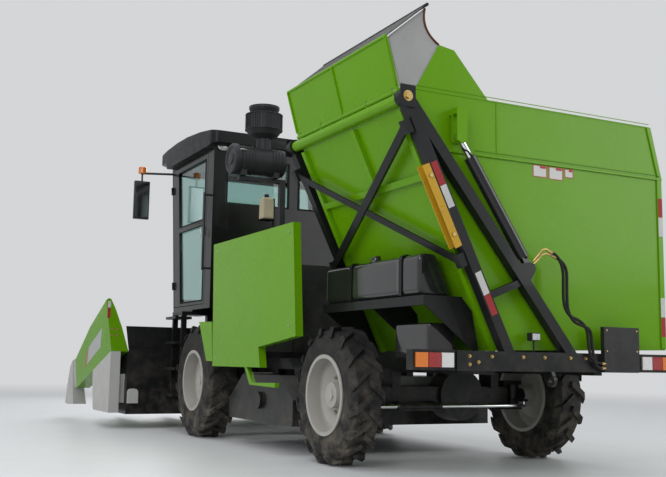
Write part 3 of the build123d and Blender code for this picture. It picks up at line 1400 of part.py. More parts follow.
# Cob tank: end walls, sloping left wall, right wall bent in at the top, raised floor over the right wheel
TANK_X0, TANK_X1 = ax(-1350), ax(270)
TANK_SHEET = 12
TANK_LOW_Y, TANK_LOW_Z = 420, 920
TANK_RIGHT_Y, TANK_RIGHT_Z = -1240, 950
LEFT_TOP = (TIP_Y - 10, TIP_Z - 5)
TANK_TOP = 2760
BEND_Z = 2355
TOP_RIGHT_Y = -1130
GUSSET_LOW = (1150, 2700)
GUSSET_BACK = (920, 3110)
GUSSET_START = (785, 3090)
FLAP_HINGE = (1262, 2718)
FLAP_EDGE = (1370, 3100)
FLAP_BAR = (1030, 3390)
FLAP_SHEET = 10
HINGE_R = 18
HINGE_PIN_R = 8
HINGE_LUG = 12
HINGE_LUG_XS = [ax(-1300 + 380 * index) for index in range(5)]
PIVOT_TUBE_R = 45
FLAP_X0, FLAP_X1 = TANK_X0 - 20, TANK_X1 + 20
wall_dir = unit((TANK_LOW_Y, TANK_LOW_Z), LEFT_TOP)
WALL_LEN = hypot(LEFT_TOP[0] - TANK_LOW_Y, LEFT_TOP[1] - TANK_LOW_Z)
ARCH_X0 = ax(-700)
ARCH_Y, ARCH_TOP = -600, 1150
RIB = 35


def wall_band(s0, s1, out0, out1):
    """Corners of a rectangle along the left wall, outside it."""
    start = (TANK_LOW_Y, TANK_LOW_Z)
    return [on_unit(start, s, out, wall_dir) for s, out in ((s0, out0), (s1, out0), (s1, out1), (s0, out1))]


with BuildPart() as cob_tank:
    cross_plate(
        (
            (TANK_LOW_Y, TANK_LOW_Z),
            LEFT_TOP,
            GUSSET_LOW,
            GUSSET_BACK,
            GUSSET_START,
            (487, TANK_TOP),
            (TOP_RIGHT_Y, TANK_TOP),
            (TANK_RIGHT_Y, BEND_Z),
            (TANK_RIGHT_Y, TANK_RIGHT_Z),
        ),
        TANK_X0,
        TANK_X1,
    )
    inner_shift = TANK_SHEET / wall_dir[1]
    cross_plate(
        (
            (TANK_LOW_Y + wall_dir[0] / wall_dir[1] * TANK_SHEET - inner_shift, TANK_LOW_Z + TANK_SHEET),
            (LEFT_TOP[0] - inner_shift, LEFT_TOP[1]),
            (LEFT_TOP[0] - inner_shift, 3400),
            (TOP_RIGHT_Y + TANK_SHEET, 3400),
            (TOP_RIGHT_Y + TANK_SHEET, TANK_TOP),
            (TANK_RIGHT_Y + TANK_SHEET, BEND_Z),
            (TANK_RIGHT_Y + TANK_SHEET, TANK_RIGHT_Z + TANK_SHEET),
        ),
        TANK_X0 + TANK_SHEET,
        TANK_X1 - TANK_SHEET,
        mode=Mode.SUBTRACT,
    )
    # wheel arch on the right
    cut_block(ARCH_X0, TANK_X1 + 1, TANK_RIGHT_Y - 1, ARCH_Y, 900, ARCH_TOP)
    block(ARCH_X0 - TANK_SHEET, TANK_X1, TANK_RIGHT_Y, ARCH_Y + TANK_SHEET, ARCH_TOP, ARCH_TOP + TANK_SHEET)
    block(ARCH_X0 - TANK_SHEET, TANK_X1, ARCH_Y, ARCH_Y + TANK_SHEET, 945, ARCH_TOP)
    block(ARCH_X0 - TANK_SHEET, ARCH_X0, TANK_RIGHT_Y, ARCH_Y, 955, ARCH_TOP)
    # ribs on the left wall
    for rib_x0, rib_x1, s0, s1 in (
        (TANK_X0, TANK_X0 + 50, 0, WALL_LEN - 60),
        (TANK_X1 - 50, TANK_X1, 0, WALL_LEN - 60),
        (ax(-660), ax(-610), 1350, WALL_LEN - 60),
        (TANK_X0, TANK_X1, 1330, 1380),
    ):
        cross_plate(wall_band(s0, s1, -1, RIB), rib_x0, rib_x1)
    # ledge on the rear wall
    block(TANK_X0 - 15, TANK_X0, TANK_RIGHT_Y, 1080, 2325, 2340)
    # hinge tube with its pin ends
    pin_x0, pin_x1 = REAR_A_X - LEG_WIDTH / 2, FRONT_A_X + LEG_WIDTH / 2
    tube_x0, tube_x1 = pin_x0 + LEG_WIDTH + RUNNING_GAP, pin_x1 - LEG_WIDTH - RUNNING_GAP
    round_bar((tube_x0, TIP_Y, TIP_Z), (tube_x1, TIP_Y, TIP_Z), PIVOT_TUBE_R)
    round_bar((pin_x0, TIP_Y, TIP_Z), (pin_x1, TIP_Y, TIP_Z), PIVOT_PIN_R)
    # lugs and pin for the flap
    for lug_x in HINGE_LUG_XS:
        with BuildSketch(Plane.YZ.offset(lug_x)):
            with Locations(FLAP_HINGE):
                Circle(HINGE_R)
            Polygon(
                (TIP_Y - 20, TIP_Z + 20),
                (TIP_Y + 20, TIP_Z + 20),
                (FLAP_HINGE[0] + 16, FLAP_HINGE[1]),
                (FLAP_HINGE[0] - 16, FLAP_HINGE[1]),
                align=None,
            )
        extrude(amount=HINGE_LUG)
    round_bar((FLAP_X0, *FLAP_HINGE), (FLAP_X1, *FLAP_HINGE), HINGE_PIN_R)
    # brackets over the upper ends of the tipping cylinders
    for frame_x, wall_x in ((REAR_A_X, TANK_X0), (FRONT_A_X, TANK_X1)):
        for ear_x in (frame_x - 40, frame_x + 30):
            cross_plate(
                (
                    (CYL_TOP_Y - 45, CYL_TOP_Z - 25),
                    (CYL_TOP_Y, CYL_TOP_Z - 48),
                    (CYL_TOP_Y + 45, CYL_TOP_Z - 25),
                    (CYL_TOP_Y + 45, CYL_TOP_Z + 215),
                    (CYL_TOP_Y - 45, CYL_TOP_Z + 215),
                ),
                ear_x,
                ear_x + 10,
            )
        x0, x1 = min(frame_x - 40, wall_x), max(frame_x + 40, wall_x)
        block(x0, x1, CYL_TOP_Y - 45, CYL_TOP_Y + 45, CYL_TOP_Z + 170, CYL_TOP_Z + 215)
save(cob_tank.part, "cob_tank")

# Flap along the hinge tube, with its inward-leaning lip and bar
flap_dir = unit(FLAP_HINGE, FLAP_EDGE)
lip_dir = unit(FLAP_EDGE, FLAP_BAR)
with BuildPart() as tank_flap:
    with BuildSketch(Plane.YZ.offset(FLAP_X0)):
        Polygon(
            *strip_outline(FLAP_HINGE, FLAP_EDGE, FLAP_SHEET),
            align=None,
        )
        with Locations(FLAP_HINGE):
            Circle(HINGE_R)
            Circle(HINGE_PIN_R + PIN_GAP, mode=Mode.SUBTRACT)
    extrude(amount=FLAP_X1 - FLAP_X0)
    # notches for the hinge lugs
    for lug_x in HINGE_LUG_XS:
        cut_block(
            lug_x - RUNNING_GAP,
            lug_x + HINGE_LUG + RUNNING_GAP,
            FLAP_HINGE[0] - 40,
            FLAP_HINGE[0] + 40,
            FLAP_HINGE[1] - 40,
            FLAP_HINGE[1] + HINGE_R + 8,
        )
save(tank_flap.part, "tank_flap")

with BuildPart() as flap_lip:
    lip_len = hypot(FLAP_BAR[0] - FLAP_EDGE[0], FLAP_BAR[1] - FLAP_EDGE[1])
    with BuildSketch(Plane.YZ.offset(FLAP_X0)):
        Polygon(
            on_unit(FLAP_EDGE, 0, FLAP_SHEET / 2, flap_dir),
            on_unit(FLAP_EDGE, lip_len, 4, lip_dir),
            on_unit(FLAP_EDGE, lip_len, -4, lip_dir),
            on_unit(FLAP_EDGE, 14, -4, lip_dir),
            on_unit(FLAP_EDGE, 0, -FLAP_SHEET / 2, flap_dir),
            align=None,
        )
        with Locations(FLAP_BAR):
            Circle(12)
    extrude(amount=FLAP_X1 - FLAP_X0)
save(flap_lip.part, "flap_lip")

# Canvas gussets that close the ends between the tank's walls and the flap
GUSSET_SET = 14
GUSSET_SHEET = 6
corner_in = (
    -(flap_dir[1] + lip_dir[1]),
    flap_dir[0] + lip_dir[0],
)
corner_scale = GUSSET_SET / (1 + flap_dir[0] * lip_dir[0] + flap_dir[1] * lip_dir[1])
with BuildPart() as tank_gussets:
    for x0 in (TANK_X0, TANK_X1 - GUSSET_SHEET):
        cross_plate(
            (
                GUSSET_LOW,
                on_unit(FLAP_HINGE, 40, -GUSSET_SET, flap_dir),
                (FLAP_EDGE[0] + corner_scale * corner_in[0], FLAP_EDGE[1] + corner_scale * corner_in[1]),
                on_unit(FLAP_BAR, 10, -26, lip_dir),
                (960, 3320),
                (850, 3165),
                GUSSET_START,
                GUSSET_BACK,
            ),
            x0,
            x0 + GUSSET_SHEET,
        )
save(tank_gussets.part, "tank_gussets")

# Tipping cylinders, one inside each A-frame
cyl_dir = unit((CYL_LOW_Y, CYL_LOW_Z), (CYL_TOP_Y, CYL_TOP_Z))
CYL_CLOSED = hypot(CYL_TOP_Y - CYL_LOW_Y, CYL_TOP_Z - CYL_LOW_Z)


def along_cyl(x, distance):
    return (x, CYL_LOW_Y + distance * cyl_dir[0], CYL_LOW_Z + distance * cyl_dir[1])


with BuildPart() as tip_barrels:
    for frame_x in (REAR_A_X, FRONT_A_X):
        round_bar(along_cyl(frame_x, 100), along_cyl(frame_x, 930), 45)
        round_bar(along_cyl(frame_x, 110), along_cyl(frame_x, 905), 37, mode=Mode.SUBTRACT)
        round_bar(along_cyl(frame_x, 900), along_cyl(frame_x, 931), 25 + PIN_GAP, mode=Mode.SUBTRACT)
        with BuildSketch(Plane.YZ.offset(frame_x - EYE_HALF)):
            with Locations((CYL_LOW_Y, CYL_LOW_Z)):
                Circle(34)
            base = ((0, -24), (105, -24), (105, 24), (0, 24))
            Polygon(*[on_unit((CYL_LOW_Y, CYL_LOW_Z), s, w, cyl_dir) for s, w in base], align=None)
            with Locations((CYL_LOW_Y, CYL_LOW_Z)):
                Circle(TIP_PIN_R + PIN_GAP, mode=Mode.SUBTRACT)
        extrude(amount=2 * EYE_HALF)
save(tip_barrels.part, "tip_barrels")

with BuildPart() as tip_rods:
    for frame_x in (REAR_A_X, FRONT_A_X):
        round_bar(along_cyl(frame_x, 115), along_cyl(frame_x, CYL_CLOSED - 20), 25)
        round_bar(along_cyl(frame_x, 115), along_cyl(frame_x, 150), 36.5)
        with BuildSketch(Plane.YZ.offset(frame_x - EYE_HALF)):
            with Locations((CYL_TOP_Y, CYL_TOP_Z)):
                Circle(38)
        extrude(amount=2 * EYE_HALF)
        x0, x1 = frame_x - 30, frame_x + 30
        round_bar((x0, CYL_TOP_Y, CYL_TOP_Z), (x1, CYL_TOP_Y, CYL_TOP_Z), 18, mode=Mode.SUBTRACT)
save(tip_rods.part, "tip_rods")
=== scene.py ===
import math
import bmesh
import bpy
from mathutils import Matrix, Vector


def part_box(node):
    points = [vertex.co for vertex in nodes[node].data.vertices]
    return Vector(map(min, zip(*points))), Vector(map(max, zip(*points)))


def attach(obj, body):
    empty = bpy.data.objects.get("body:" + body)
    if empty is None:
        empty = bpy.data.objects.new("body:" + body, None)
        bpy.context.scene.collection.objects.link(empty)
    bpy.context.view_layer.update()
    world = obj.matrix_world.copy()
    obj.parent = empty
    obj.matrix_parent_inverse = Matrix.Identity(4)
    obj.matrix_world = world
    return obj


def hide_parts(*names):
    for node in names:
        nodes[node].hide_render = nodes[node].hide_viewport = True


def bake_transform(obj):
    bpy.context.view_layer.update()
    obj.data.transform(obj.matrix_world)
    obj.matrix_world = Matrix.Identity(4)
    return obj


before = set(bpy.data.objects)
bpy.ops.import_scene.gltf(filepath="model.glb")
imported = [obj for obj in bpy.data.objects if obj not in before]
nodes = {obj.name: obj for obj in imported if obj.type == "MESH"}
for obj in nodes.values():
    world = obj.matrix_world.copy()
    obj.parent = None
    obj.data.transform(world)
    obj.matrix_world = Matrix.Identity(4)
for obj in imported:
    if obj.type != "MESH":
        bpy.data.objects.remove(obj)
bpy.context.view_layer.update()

scene = bpy.context.scene
scene.view_settings.view_transform = "Standard"

# Camera: low behind the machine's left rear corner, looking slightly up along its side,
# with a normal lens, as the photograph was taken.
camera_place = (-9.658, 4.611, 0.813)
turn, tilt, roll = math.radians(27.08), math.radians(7.44), math.radians(0.874)
photo_width, focal_pixels, sensor_width = 666.0, 950.3, 36.0


def put_in(name, data):
    """Adds an object with its data to the scene."""
    piece = bpy.data.objects.new(name, data)
    scene.collection.objects.link(piece)
    return piece


ahead = Vector((math.cos(tilt) * math.cos(turn), -math.cos(tilt) * math.sin(turn), math.sin(tilt)))
level_right = Vector((-math.sin(turn), -math.cos(turn), 0.0))
level_up = level_right.cross(ahead)
image_right = math.cos(roll) * level_right + math.sin(roll) * level_up
image_up = math.cos(roll) * level_up - math.sin(roll) * level_right
camera = put_in("camera", bpy.data.cameras.new("camera"))
camera.data.sensor_width = sensor_width
camera.data.lens = sensor_width * focal_pixels / photo_width
camera.data.clip_end = 300.0
facing = Matrix((image_right, image_up, -ahead)).transposed().to_4x4()
camera.matrix_world = Matrix.Translation(camera_place) @ facing
scene.camera = camera

# Studio: a plain pale floor that fades into an even pale surround, and large soft lamps
# above and around the machine, at a level where a colour shows about as it is.
PALE = (0.66, 0.67, 0.68, 1.0)
floor_radius, fade_start, fade_end = 90.0, 7.0, 24.0
lamps_aim = Vector((-0.8, 0.3, 1.2))


def feed(tree, node, inputs):
    """Gives a node its inputs, as fixed values or as earlier results."""
    for key, value in inputs.items():
        if isinstance(value, bpy.types.NodeSocket):
            tree.links.new(value, node.inputs[key])
        else:
            node.inputs[key].default_value = value


def step(tree, kind, inputs=(), **settings):
    """Adds one step to a finish or a layout: its settings, then its inputs."""
    made = tree.nodes.new(kind)
    for key, value in settings.items():
        setattr(made, key, value)
    feed(tree, made, dict(inputs))
    return made


def maths(tree, operation, *values, **settings):
    """The result of one operation on values or earlier results."""
    return step(tree, "ShaderNodeMath", dict(enumerate(values)), operation=operation, **settings).outputs[0]


def mixed(tree, share, first, second):
    """A colour between two others."""
    ends = [c if isinstance(c, bpy.types.NodeSocket) else tuple(c) + (1.0,) for c in (first, second)]
    return step(tree, "ShaderNodeMix", {0: share, 6: ends[0], 7: ends[1]}, data_type="RGBA").outputs[2]


def noise(tree, place, scale, detail, **more):
    """Soft noise over a surface."""
    inputs = {"Vector": place, "Scale": scale, "Detail": detail, **more}
    return step(tree, "ShaderNodeTexNoise", inputs).outputs["Fac"]


def spread(tree, value, low, high, to_low=0.0, to_high=1.0, **settings):
    """A value's range from low to high, spread over another range."""
    inputs = {0: value, 1: low, 2: high, 3: to_low, 4: to_high}
    return step(tree, "ShaderNodeMapRange", inputs, **settings).outputs[0]


def kept_piece(name, mesh, look=None):
    """Turns a worked mesh into a piece, smooth and with its finish if it has one yet."""
    data = bpy.data.meshes.new(name)
    mesh.to_mesh(data)
    mesh.free()
    if look:
        data.materials.append(look)
        data.shade_smooth()
    return put_in(name, data)


surround = bpy.data.worlds.new("surround")
surround.use_nodes = True
sky = surround.node_tree
sky.nodes.clear()
seen = step(sky, "ShaderNodeLightPath").outputs
either = maths(sky, "MAXIMUM", seen["Is Camera Ray"], seen["Is Glossy Ray"])
any_view = maths(sky, "MAXIMUM", either, seen["Is Transmission Ray"])
lighting = step(sky, "ShaderNodeBackground", {"Color": (0.93, 0.96, 1.0, 1.0), "Strength": 0.55})
pale_view = step(sky, "ShaderNodeBackground", {"Color": PALE, "Strength": 1.0})
both = step(sky, "ShaderNodeMixShader", {0: any_view, 1: lighting.outputs[0], 2: pale_view.outputs[0]})
step(sky, "ShaderNodeOutputWorld", {"Surface": both.outputs[0]})
scene.world = surround

floor_look = bpy.data.materials.new("floor_look")
floor_look.use_nodes = True
ground = floor_look.node_tree
ground.nodes.clear()
ground_place = step(ground, "ShaderNodeTexCoord").outputs["Object"]
distance = step(ground, "ShaderNodeVectorMath", {0: ground_place}, operation="LENGTH").outputs["Value"]
fade = spread(ground, distance, fade_start, fade_end, interpolation_type="SMOOTHSTEP")
far_view = maths(ground, "MULTIPLY", fade, step(ground, "ShaderNodeLightPath").outputs["Is Camera Ray"])
ground_tone = mixed(ground, noise(ground, ground_place, 3.0, 5.0), (0.60, 0.61, 0.62), PALE[:3])
matt = step(ground, "ShaderNodeBsdfPrincipled", {"Base Color": ground_tone, "Roughness": 0.42})
glow = step(ground, "ShaderNodeEmission", {"Color": PALE, "Strength": 1.0})
ground_mix = step(ground, "ShaderNodeMixShader", {0: far_view, 1: matt.outputs[0], 2: glow.outputs[0]})
step(ground, "ShaderNodeOutputMaterial", {"Surface": ground_mix.outputs[0]})
floor_mesh = bmesh.new()
bmesh.ops.create_circle(floor_mesh, cap_ends=True, segments=96, radius=floor_radius)
kept_piece("floor", floor_mesh, floor_look)

# lamp, place, size, power
for lamp_name, place, size, power in (
    ("lamp_over", (-1.0, 1.5, 9.5), 9.0, 400.0),
    ("lamp_rear_left", (-9.5, 7.5, 6.0), 5.0, 390.0),
    ("lamp_left", (1.5, 11.0, 3.8), 4.5, 260.0),
    ("lamp_rear_right", (-9.0, -6.5, 4.5), 5.0, 260.0),
    ("lamp_ahead", (9.5, -3.0, 5.0), 5.0, 260.0),
):
    lamp = put_in(lamp_name, bpy.data.lights.new(lamp_name, "AREA"))
    lamp.data.size = size
    lamp.data.energy = power
    lamp.location = place
    lamp.visible_transmission = False
    lamp.visible_glossy = lamp_name != "lamp_left"
    lamp.rotation_euler = (lamps_aim - Vector(place)).to_track_quat("-Z", "Y").to_euler()

# Welded frame: box rails, cross members, axles and brackets, sprayed semi-gloss black.
# The paint has a slow change of tone, a fine orange peel and a little dust low down.


def relief(tree, height, strength, distance, under=None):
    """A relief in a surface, on top of another one where there is one."""
    inputs = {"Height": height, "Strength": strength, "Distance": distance}
    if under is not None:
        inputs["Normal"] = under
    return step(tree, "ShaderNodeBump", inputs).outputs[0]


def opened(look):
    """A finish's tree, its shader and the place on the machine, to work on."""
    tree = look.node_tree
    return tree, tree.nodes["Principled BSDF"], step(tree, "ShaderNodeTexCoord").outputs["Object"]


def new_look(name):
    """A new finish, opened."""
    look = bpy.data.materials.new(name)
    look.use_nodes = True
    return (look,) + opened(look)


def toned(colour, factor):
    """A colour made darker or lighter."""
    return tuple(min(1.0, part * factor) for part in colour)


def sprayed(name, colour, rough, coat=0.0, metal=0.0, drift=0.12, waves=0.0, peel=0.25,
            dust=0.10, dust_top=1.3, shine=0.3):
    """A sprayed or moulded surface of one colour, with its grain, and dust that lies low down."""
    look, tree, skin, place = new_look(name)
    slow = noise(tree, place, 1.6, 5.0, Roughness=0.6)
    tone = mixed(tree, slow, toned(colour, 1.0 - drift), toned(colour, 1.0 + drift))
    height = step(tree, "ShaderNodeSeparateXYZ", {0: place}).outputs["Z"]
    patches = noise(tree, place, 7.0, 8.0, Roughness=0.7)
    patchy = spread(tree, patches, 0.42, 0.75, to_high=dust)
    dusty = maths(tree, "MULTIPLY", spread(tree, height, dust_top, 0.0), patchy, use_clamp=True)
    grain = relief(tree, noise(tree, place, 260.0, 2.0), peel, 0.0006)
    if waves:
        grain = relief(tree, noise(tree, place, 1.9, 1.5), 1.0, waves, grain)
    feed(tree, skin, {
        "Base Color": mixed(tree, dusty, tone, (0.30, 0.26, 0.20)),
        "Roughness": spread(tree, patches, 0.3, 0.8, rough * 0.85, min(1.0, rough * 1.35)),
        "Metallic": metal,
        "IOR": 1.5 if metal else 1.36,
        "Specular IOR Level": 0.5 if metal else shine,
        "Coat Weight": coat,
        "Coat Roughness": 0.06,
        "Normal": grain,
    })
    return look


def dress(look, *names):
    """Gives CAD nodes their finish."""
    for name in names:
        nodes[name].data.materials.clear()
        nodes[name].data.materials.append(look)


frame_black = sprayed("frame_black", (0.0085, 0.009, 0.0095), 0.36, coat=0.12, dust=0.22)
dress(
    frame_black, "main_frame", "front_axle", "rear_axle", "steering_knuckle_left", "steering_knuckle_right",
    "tipping_frame", "tank_shelf", "stalk_shredder", "header_frame", "feeder_house", "ladder",
)

# Green bodywork: folded and welded sheet, sprayed a glossy leaf green over the side panels,
# the dividers' hoods, the tank and its flap, the elevator and the row units.
body_green = sprayed(
    "body_green", (0.108, 0.276, 0.0020), 0.24, coat=0.06, drift=0.06, waves=0.007, peel=0.04,
    dust=0.06, shine=0.22,
)
dress(body_green, "side_panels", "divider_hoods", "cob_tank", "tank_flap", "ear_elevator", "row_units")

# Wheels: farm tyres moulded in black rubber, with rings on their side walls, on pressed
# steel rims sprayed a warm light grey, set darker as painted shade. Eight nuts hold each rim, and yard dust
# lies on both.
rim_edge, front_side_edge, rear_side_edge = 0.345, 0.50, 0.46
ring_spacing, edge_fade = 0.017, 0.01
nut_circle, nut_stand, cap_stand = 0.150, 0.002, 0.076


def wheel_middle(node):
    """The middle of a wheel, from its CAD tyre."""
    low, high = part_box(node)
    return (Vector(low) + Vector(high)) / 2


def fed_by(socket):
    """What a socket is fed by so far."""
    return socket.links[0].from_socket


def tyre_rubber(name, middle, side_edge):
    """Black rubber with moulded rings between the rim and the shoulder, and dusty lug tops."""
    look = sprayed(name, (0.016, 0.016, 0.017), 0.62, drift=0.25, peel=0.5, dust=0.55, dust_top=1.25)
    tree, skin, place = opened(look)
    from_hub = step(tree, "ShaderNodeVectorMath", {0: place, 1: tuple(middle)}, operation="SUBTRACT")
    flat = step(
        tree, "ShaderNodeVectorMath", {0: from_hub.outputs[0], 1: (1.0, 0.0, 1.0)}, operation="MULTIPLY")
    radius = step(tree, "ShaderNodeVectorMath", {0: flat.outputs[0]}, operation="LENGTH").outputs["Value"]
    rings = maths(tree, "SINE", maths(tree, "MULTIPLY", radius, 2 * math.pi / ring_spacing))
    inside = spread(tree, radius, rim_edge, rim_edge + edge_fade)
    outside = spread(tree, radius, side_edge, side_edge - edge_fade)
    raised = maths(tree, "MULTIPLY", rings, maths(tree, "MULTIPLY", inside, outside))
    feed(tree, skin, {"Normal": relief(tree, raised, 0.6, 0.002, fed_by(skin.inputs["Normal"]))})
    return look


def new_layout(name, inputs, result):
    """An empty layout with its named inputs and its one result, and the inputs' sockets."""
    tree = bpy.data.node_groups.new(name, "GeometryNodeTree")
    for label, kind in inputs:
        tree.interface.new_socket(label, in_out="INPUT", socket_type="NodeSocket" + kind)
    tree.interface.new_socket(result, in_out="OUTPUT", socket_type="NodeSocketGeometry")
    return tree, step(tree, "NodeGroupInput").outputs


def close_layout(tree, geometry, finish):
    """Makes a layout's copies real and gives them their finish."""
    real = step(tree, "GeometryNodeRealizeInstances", {"Geometry": geometry})
    coated = step(tree, "GeometryNodeSetMaterial", {"Geometry": real.outputs[0], "Material": finish})
    step(tree, "NodeGroupOutput", {0: coated.outputs[0]})
    return tree


def bolt_layout():
    """Six-sided heads of one size on round washers, one on each loose point, facing one way."""
    tree, given = new_layout("bolt_heads", (
        ("Points", "Geometry"), ("Across", "Float"), ("Height", "Float"), ("Facing", "Vector"),
        ("Finish", "Material"),
    ), "Heads")
    across, height = given["Across"], given["Height"]
    corner_share, washer_share, washer_depth = 0.577, 0.85, 0.25
    head = step(tree, "GeometryNodeMeshCylinder", {
        "Vertices": 6, "Radius": maths(tree, "MULTIPLY", across, corner_share), "Depth": height,
    })
    washer = step(tree, "GeometryNodeMeshCylinder", {
        "Vertices": 20, "Radius": maths(tree, "MULTIPLY", across, washer_share),
        "Depth": maths(tree, "MULTIPLY", height, washer_depth),
    })
    drop = step(tree, "ShaderNodeCombineXYZ", {"Z": maths(tree, "MULTIPLY", height, -0.5)})
    seated = step(tree, "GeometryNodeTransform", {
        "Geometry": washer.outputs["Mesh"], "Translation": drop.outputs[0],
    })
    whole = step(tree, "GeometryNodeJoinGeometry", {"Geometry": head.outputs["Mesh"]})
    feed(tree, whole, {"Geometry": seated.outputs[0]})
    turned = step(tree, "FunctionNodeAlignRotationToVector", {"Vector": given["Facing"]}, axis="Z")
    placed = step(tree, "GeometryNodeInstanceOnPoints", {
        "Points": given["Points"], "Instance": whole.outputs[0], "Rotation": turned.outputs[0],
    })
    return close_layout(tree, placed.outputs[0], given["Finish"])


def settle(piece):
    """Works a piece's modifiers into its mesh."""
    scene.view_layers[0].update()
    shaped = piece.evaluated_get(bpy.context.evaluated_depsgraph_get())
    piece.data = bpy.data.meshes.new_from_object(shaped)
    piece.modifiers.clear()


def laid_out(name, layout, values, body, points=()):
    """Runs one layout with its values, keeps the result as a plain mesh and mounts it."""
    carrier_mesh = bpy.data.meshes.new(name)
    carrier_mesh.from_pydata([tuple(p) for p in points], [], [])
    carrier = put_in(name, carrier_mesh)
    modifier = carrier.modifiers.new("layout", "NODES")
    modifier.node_group = layout
    for socket in layout.interface.items_tree:
        if socket.item_type == "SOCKET" and socket.in_out == "INPUT" and socket.name in values:
            modifier[socket.identifier] = values[socket.name]
    settle(carrier)
    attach(carrier, body)
    return carrier


bolts = bolt_layout()


def heads(name, across, height, facing, finish, body, points):
    """Bolt heads of one size at some points, all facing one way."""
    values = {"Across": across, "Height": height, "Facing": facing, "Finish": finish}
    return laid_out(name, bolts, values, body, points)


# The rims' grey is set darker than their paint: painted shade for rims that sit in shade.
rim_grey_with_painted_shade = sprayed("rim_grey_with_painted_shade", (0.345, 0.335, 0.31), 0.42, drift=0.10, dust=0.45, dust_top=1.2)
zinc = sprayed("zinc_plated", (0.55, 0.53, 0.47), 0.33, metal=1.0, drift=0.15, dust=0.15)
front_rubber = tyre_rubber("front_tyre_rubber", wheel_middle("front_left_tyre"), front_side_edge)
rear_rubber = tyre_rubber("rear_tyre_rubber", wheel_middle("rear_left_tyre"), rear_side_edge)
for wheel, side, rubber in (
    ("front_left", 1, front_rubber), ("front_right", -1, front_rubber),
    ("rear_left", 1, rear_rubber), ("rear_right", -1, rear_rubber),
):
    dress(rubber, wheel + "_tyre")
    dress(rim_grey_with_painted_shade, wheel + "_rim")
    middle, outward = wheel_middle(wheel + "_tyre"), (0.0, float(side), 0.0)
    around = [math.radians(22.5 + 45 * step_round) for step_round in range(8)]
    nuts = [
        middle + Vector((nut_circle * math.cos(a), side * nut_stand, nut_circle * math.sin(a)))
        for a in around
    ]
    cap = [middle + Vector((0.0, side * cap_stand, 0.0))]
    body = wheel + "_wheel"
    heads(wheel + "_nuts", 0.027, 0.024, outward, zinc, body, nuts)
    heads(wheel + "_hub_cap", 0.085, 0.012, outward, rim_grey_with_painted_shade, body, cap)

# Cab: a welded shell and a door of folded steel, sprayed gloss black, under a moulded roof
# with rounded edges and a long visor. The door hangs on two pinned hinges at its front.


def node_copy(node):
    """A copy of a CAD piece's mesh to work on, with its doubled points joined."""
    copy = bmesh.new()
    copy.from_mesh(nodes[node].data)
    bmesh.ops.remove_doubles(copy, verts=copy.verts, dist=2e-5)
    return copy


def round_over(piece, width, layers, angle):
    """Rounds the edges of a piece that are sharper than an angle."""
    rounding = piece.modifiers.new("edges", "BEVEL")
    rounding.width = width
    rounding.segments = layers
    rounding.limit_method = "ANGLE"
    rounding.angle_limit = math.radians(angle)


def softened(name, node, look, body, edge, layers, angle):
    """A copy of a CAD piece with its edges rounded over, as mouldings are."""
    copy = node_copy(node)
    flat_within = math.radians(0.6)
    bmesh.ops.dissolve_limit(copy, angle_limit=flat_within, verts=copy.verts, edges=copy.edges)
    piece = kept_piece(name, copy, look)
    round_over(piece, edge, layers, angle)
    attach(piece, body)
    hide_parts(node)
    return piece


cab_gloss = sprayed(
    "cab_gloss_black", (0.0065, 0.0068, 0.0072), 0.22, coat=0.15, drift=0.08, waves=0.004, peel=0.06,
    dust=0.05, dust_top=1.9, shine=0.22,
)
dress(cab_gloss, "cab_shell", "cab_door")
roof_gloss = sprayed(
    "roof_gloss_black", (0.0085, 0.009, 0.0095), 0.44, coat=0.08, drift=0.08, waves=0.006, peel=0.05,
    dust=0.0, shine=0.25,
)
softened("roof_cap", "cab_roof", roof_gloss, "chassis", 0.034, 4, 20.0)

# Panes of the cab and its door: tinted safety glass, cut flat and held in rubber seals, with
# faint streaks from wiping.


def tinted_glass(name, tint):
    """Clear tinted glass with faint streaks from wiping."""
    look, tree, pane, place = new_look(name)
    wiped = noise(tree, place, 3.0, 6.0, Distortion=1.5)
    feed(tree, pane, {
        "Base Color": mixed(tree, wiped, tint, toned(tint, 0.93)),
        "Roughness": spread(tree, wiped, 0.45, 0.75, 0.015, 0.12),
        "Transmission Weight": 1.0,
        "IOR": 1.45,
    })
    return look


dress(tinted_glass("cab_glass_tint", (0.52, 0.70, 0.67)), "cab_glass", "door_glass")

# Rubber seals: black mouldings pressed round the door's two panes and the two rear windows.
# They stand a few millimetres proud of the steel.
rear_axle_x = -2.725
cab_low_x, cab_high_x, cab_low_z, cab_high_z = 4.430, 4.680, 1.400, 3.240
door_face_y, door_back_x, door_front_in = 0.9995, 3.385, 0.26
window_x, window_low_z, window_high_z = 3.130, 2.590, 3.130
sharp_from, rounded_from, corner_reach = 35.0, 30.0, 1.41


def from_axle(x, y, z):
    """A place measured forward from the rear axle, as the drawings give it."""
    return (x + rear_axle_x, y, z)


def line_from_axle(*points):
    """Places measured forward from the rear axle."""
    return [from_axle(*point) for point in points]


def solid_piece(name, mesh, look, body, edge=0.0, layers=2):
    """Closes a piece's mesh with its faces outward, gives it its finish and mounts it."""
    bmesh.ops.remove_doubles(mesh, verts=mesh.verts, dist=1e-6)
    bmesh.ops.recalc_face_normals(mesh, faces=mesh.faces)
    piece = kept_piece(name, mesh, look)
    piece.data.set_sharp_from_angle(angle=math.radians(sharp_from))
    if edge:
        round_over(piece, edge, layers, rounded_from)
    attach(piece, body)
    return piece


def add_plate(mesh, corners, thickness):
    """A flat plate: its corners in order, and the vector of its thickness."""
    near = [mesh.verts.new(Vector(c)) for c in corners]
    far = [mesh.verts.new(Vector(c) + Vector(thickness)) for c in corners]
    mesh.faces.new(near)
    mesh.faces.new(list(reversed(far)))
    for index in range(len(near)):
        after = (index + 1) % len(near)
        mesh.faces.new((near[after], near[index], far[index], far[after]))


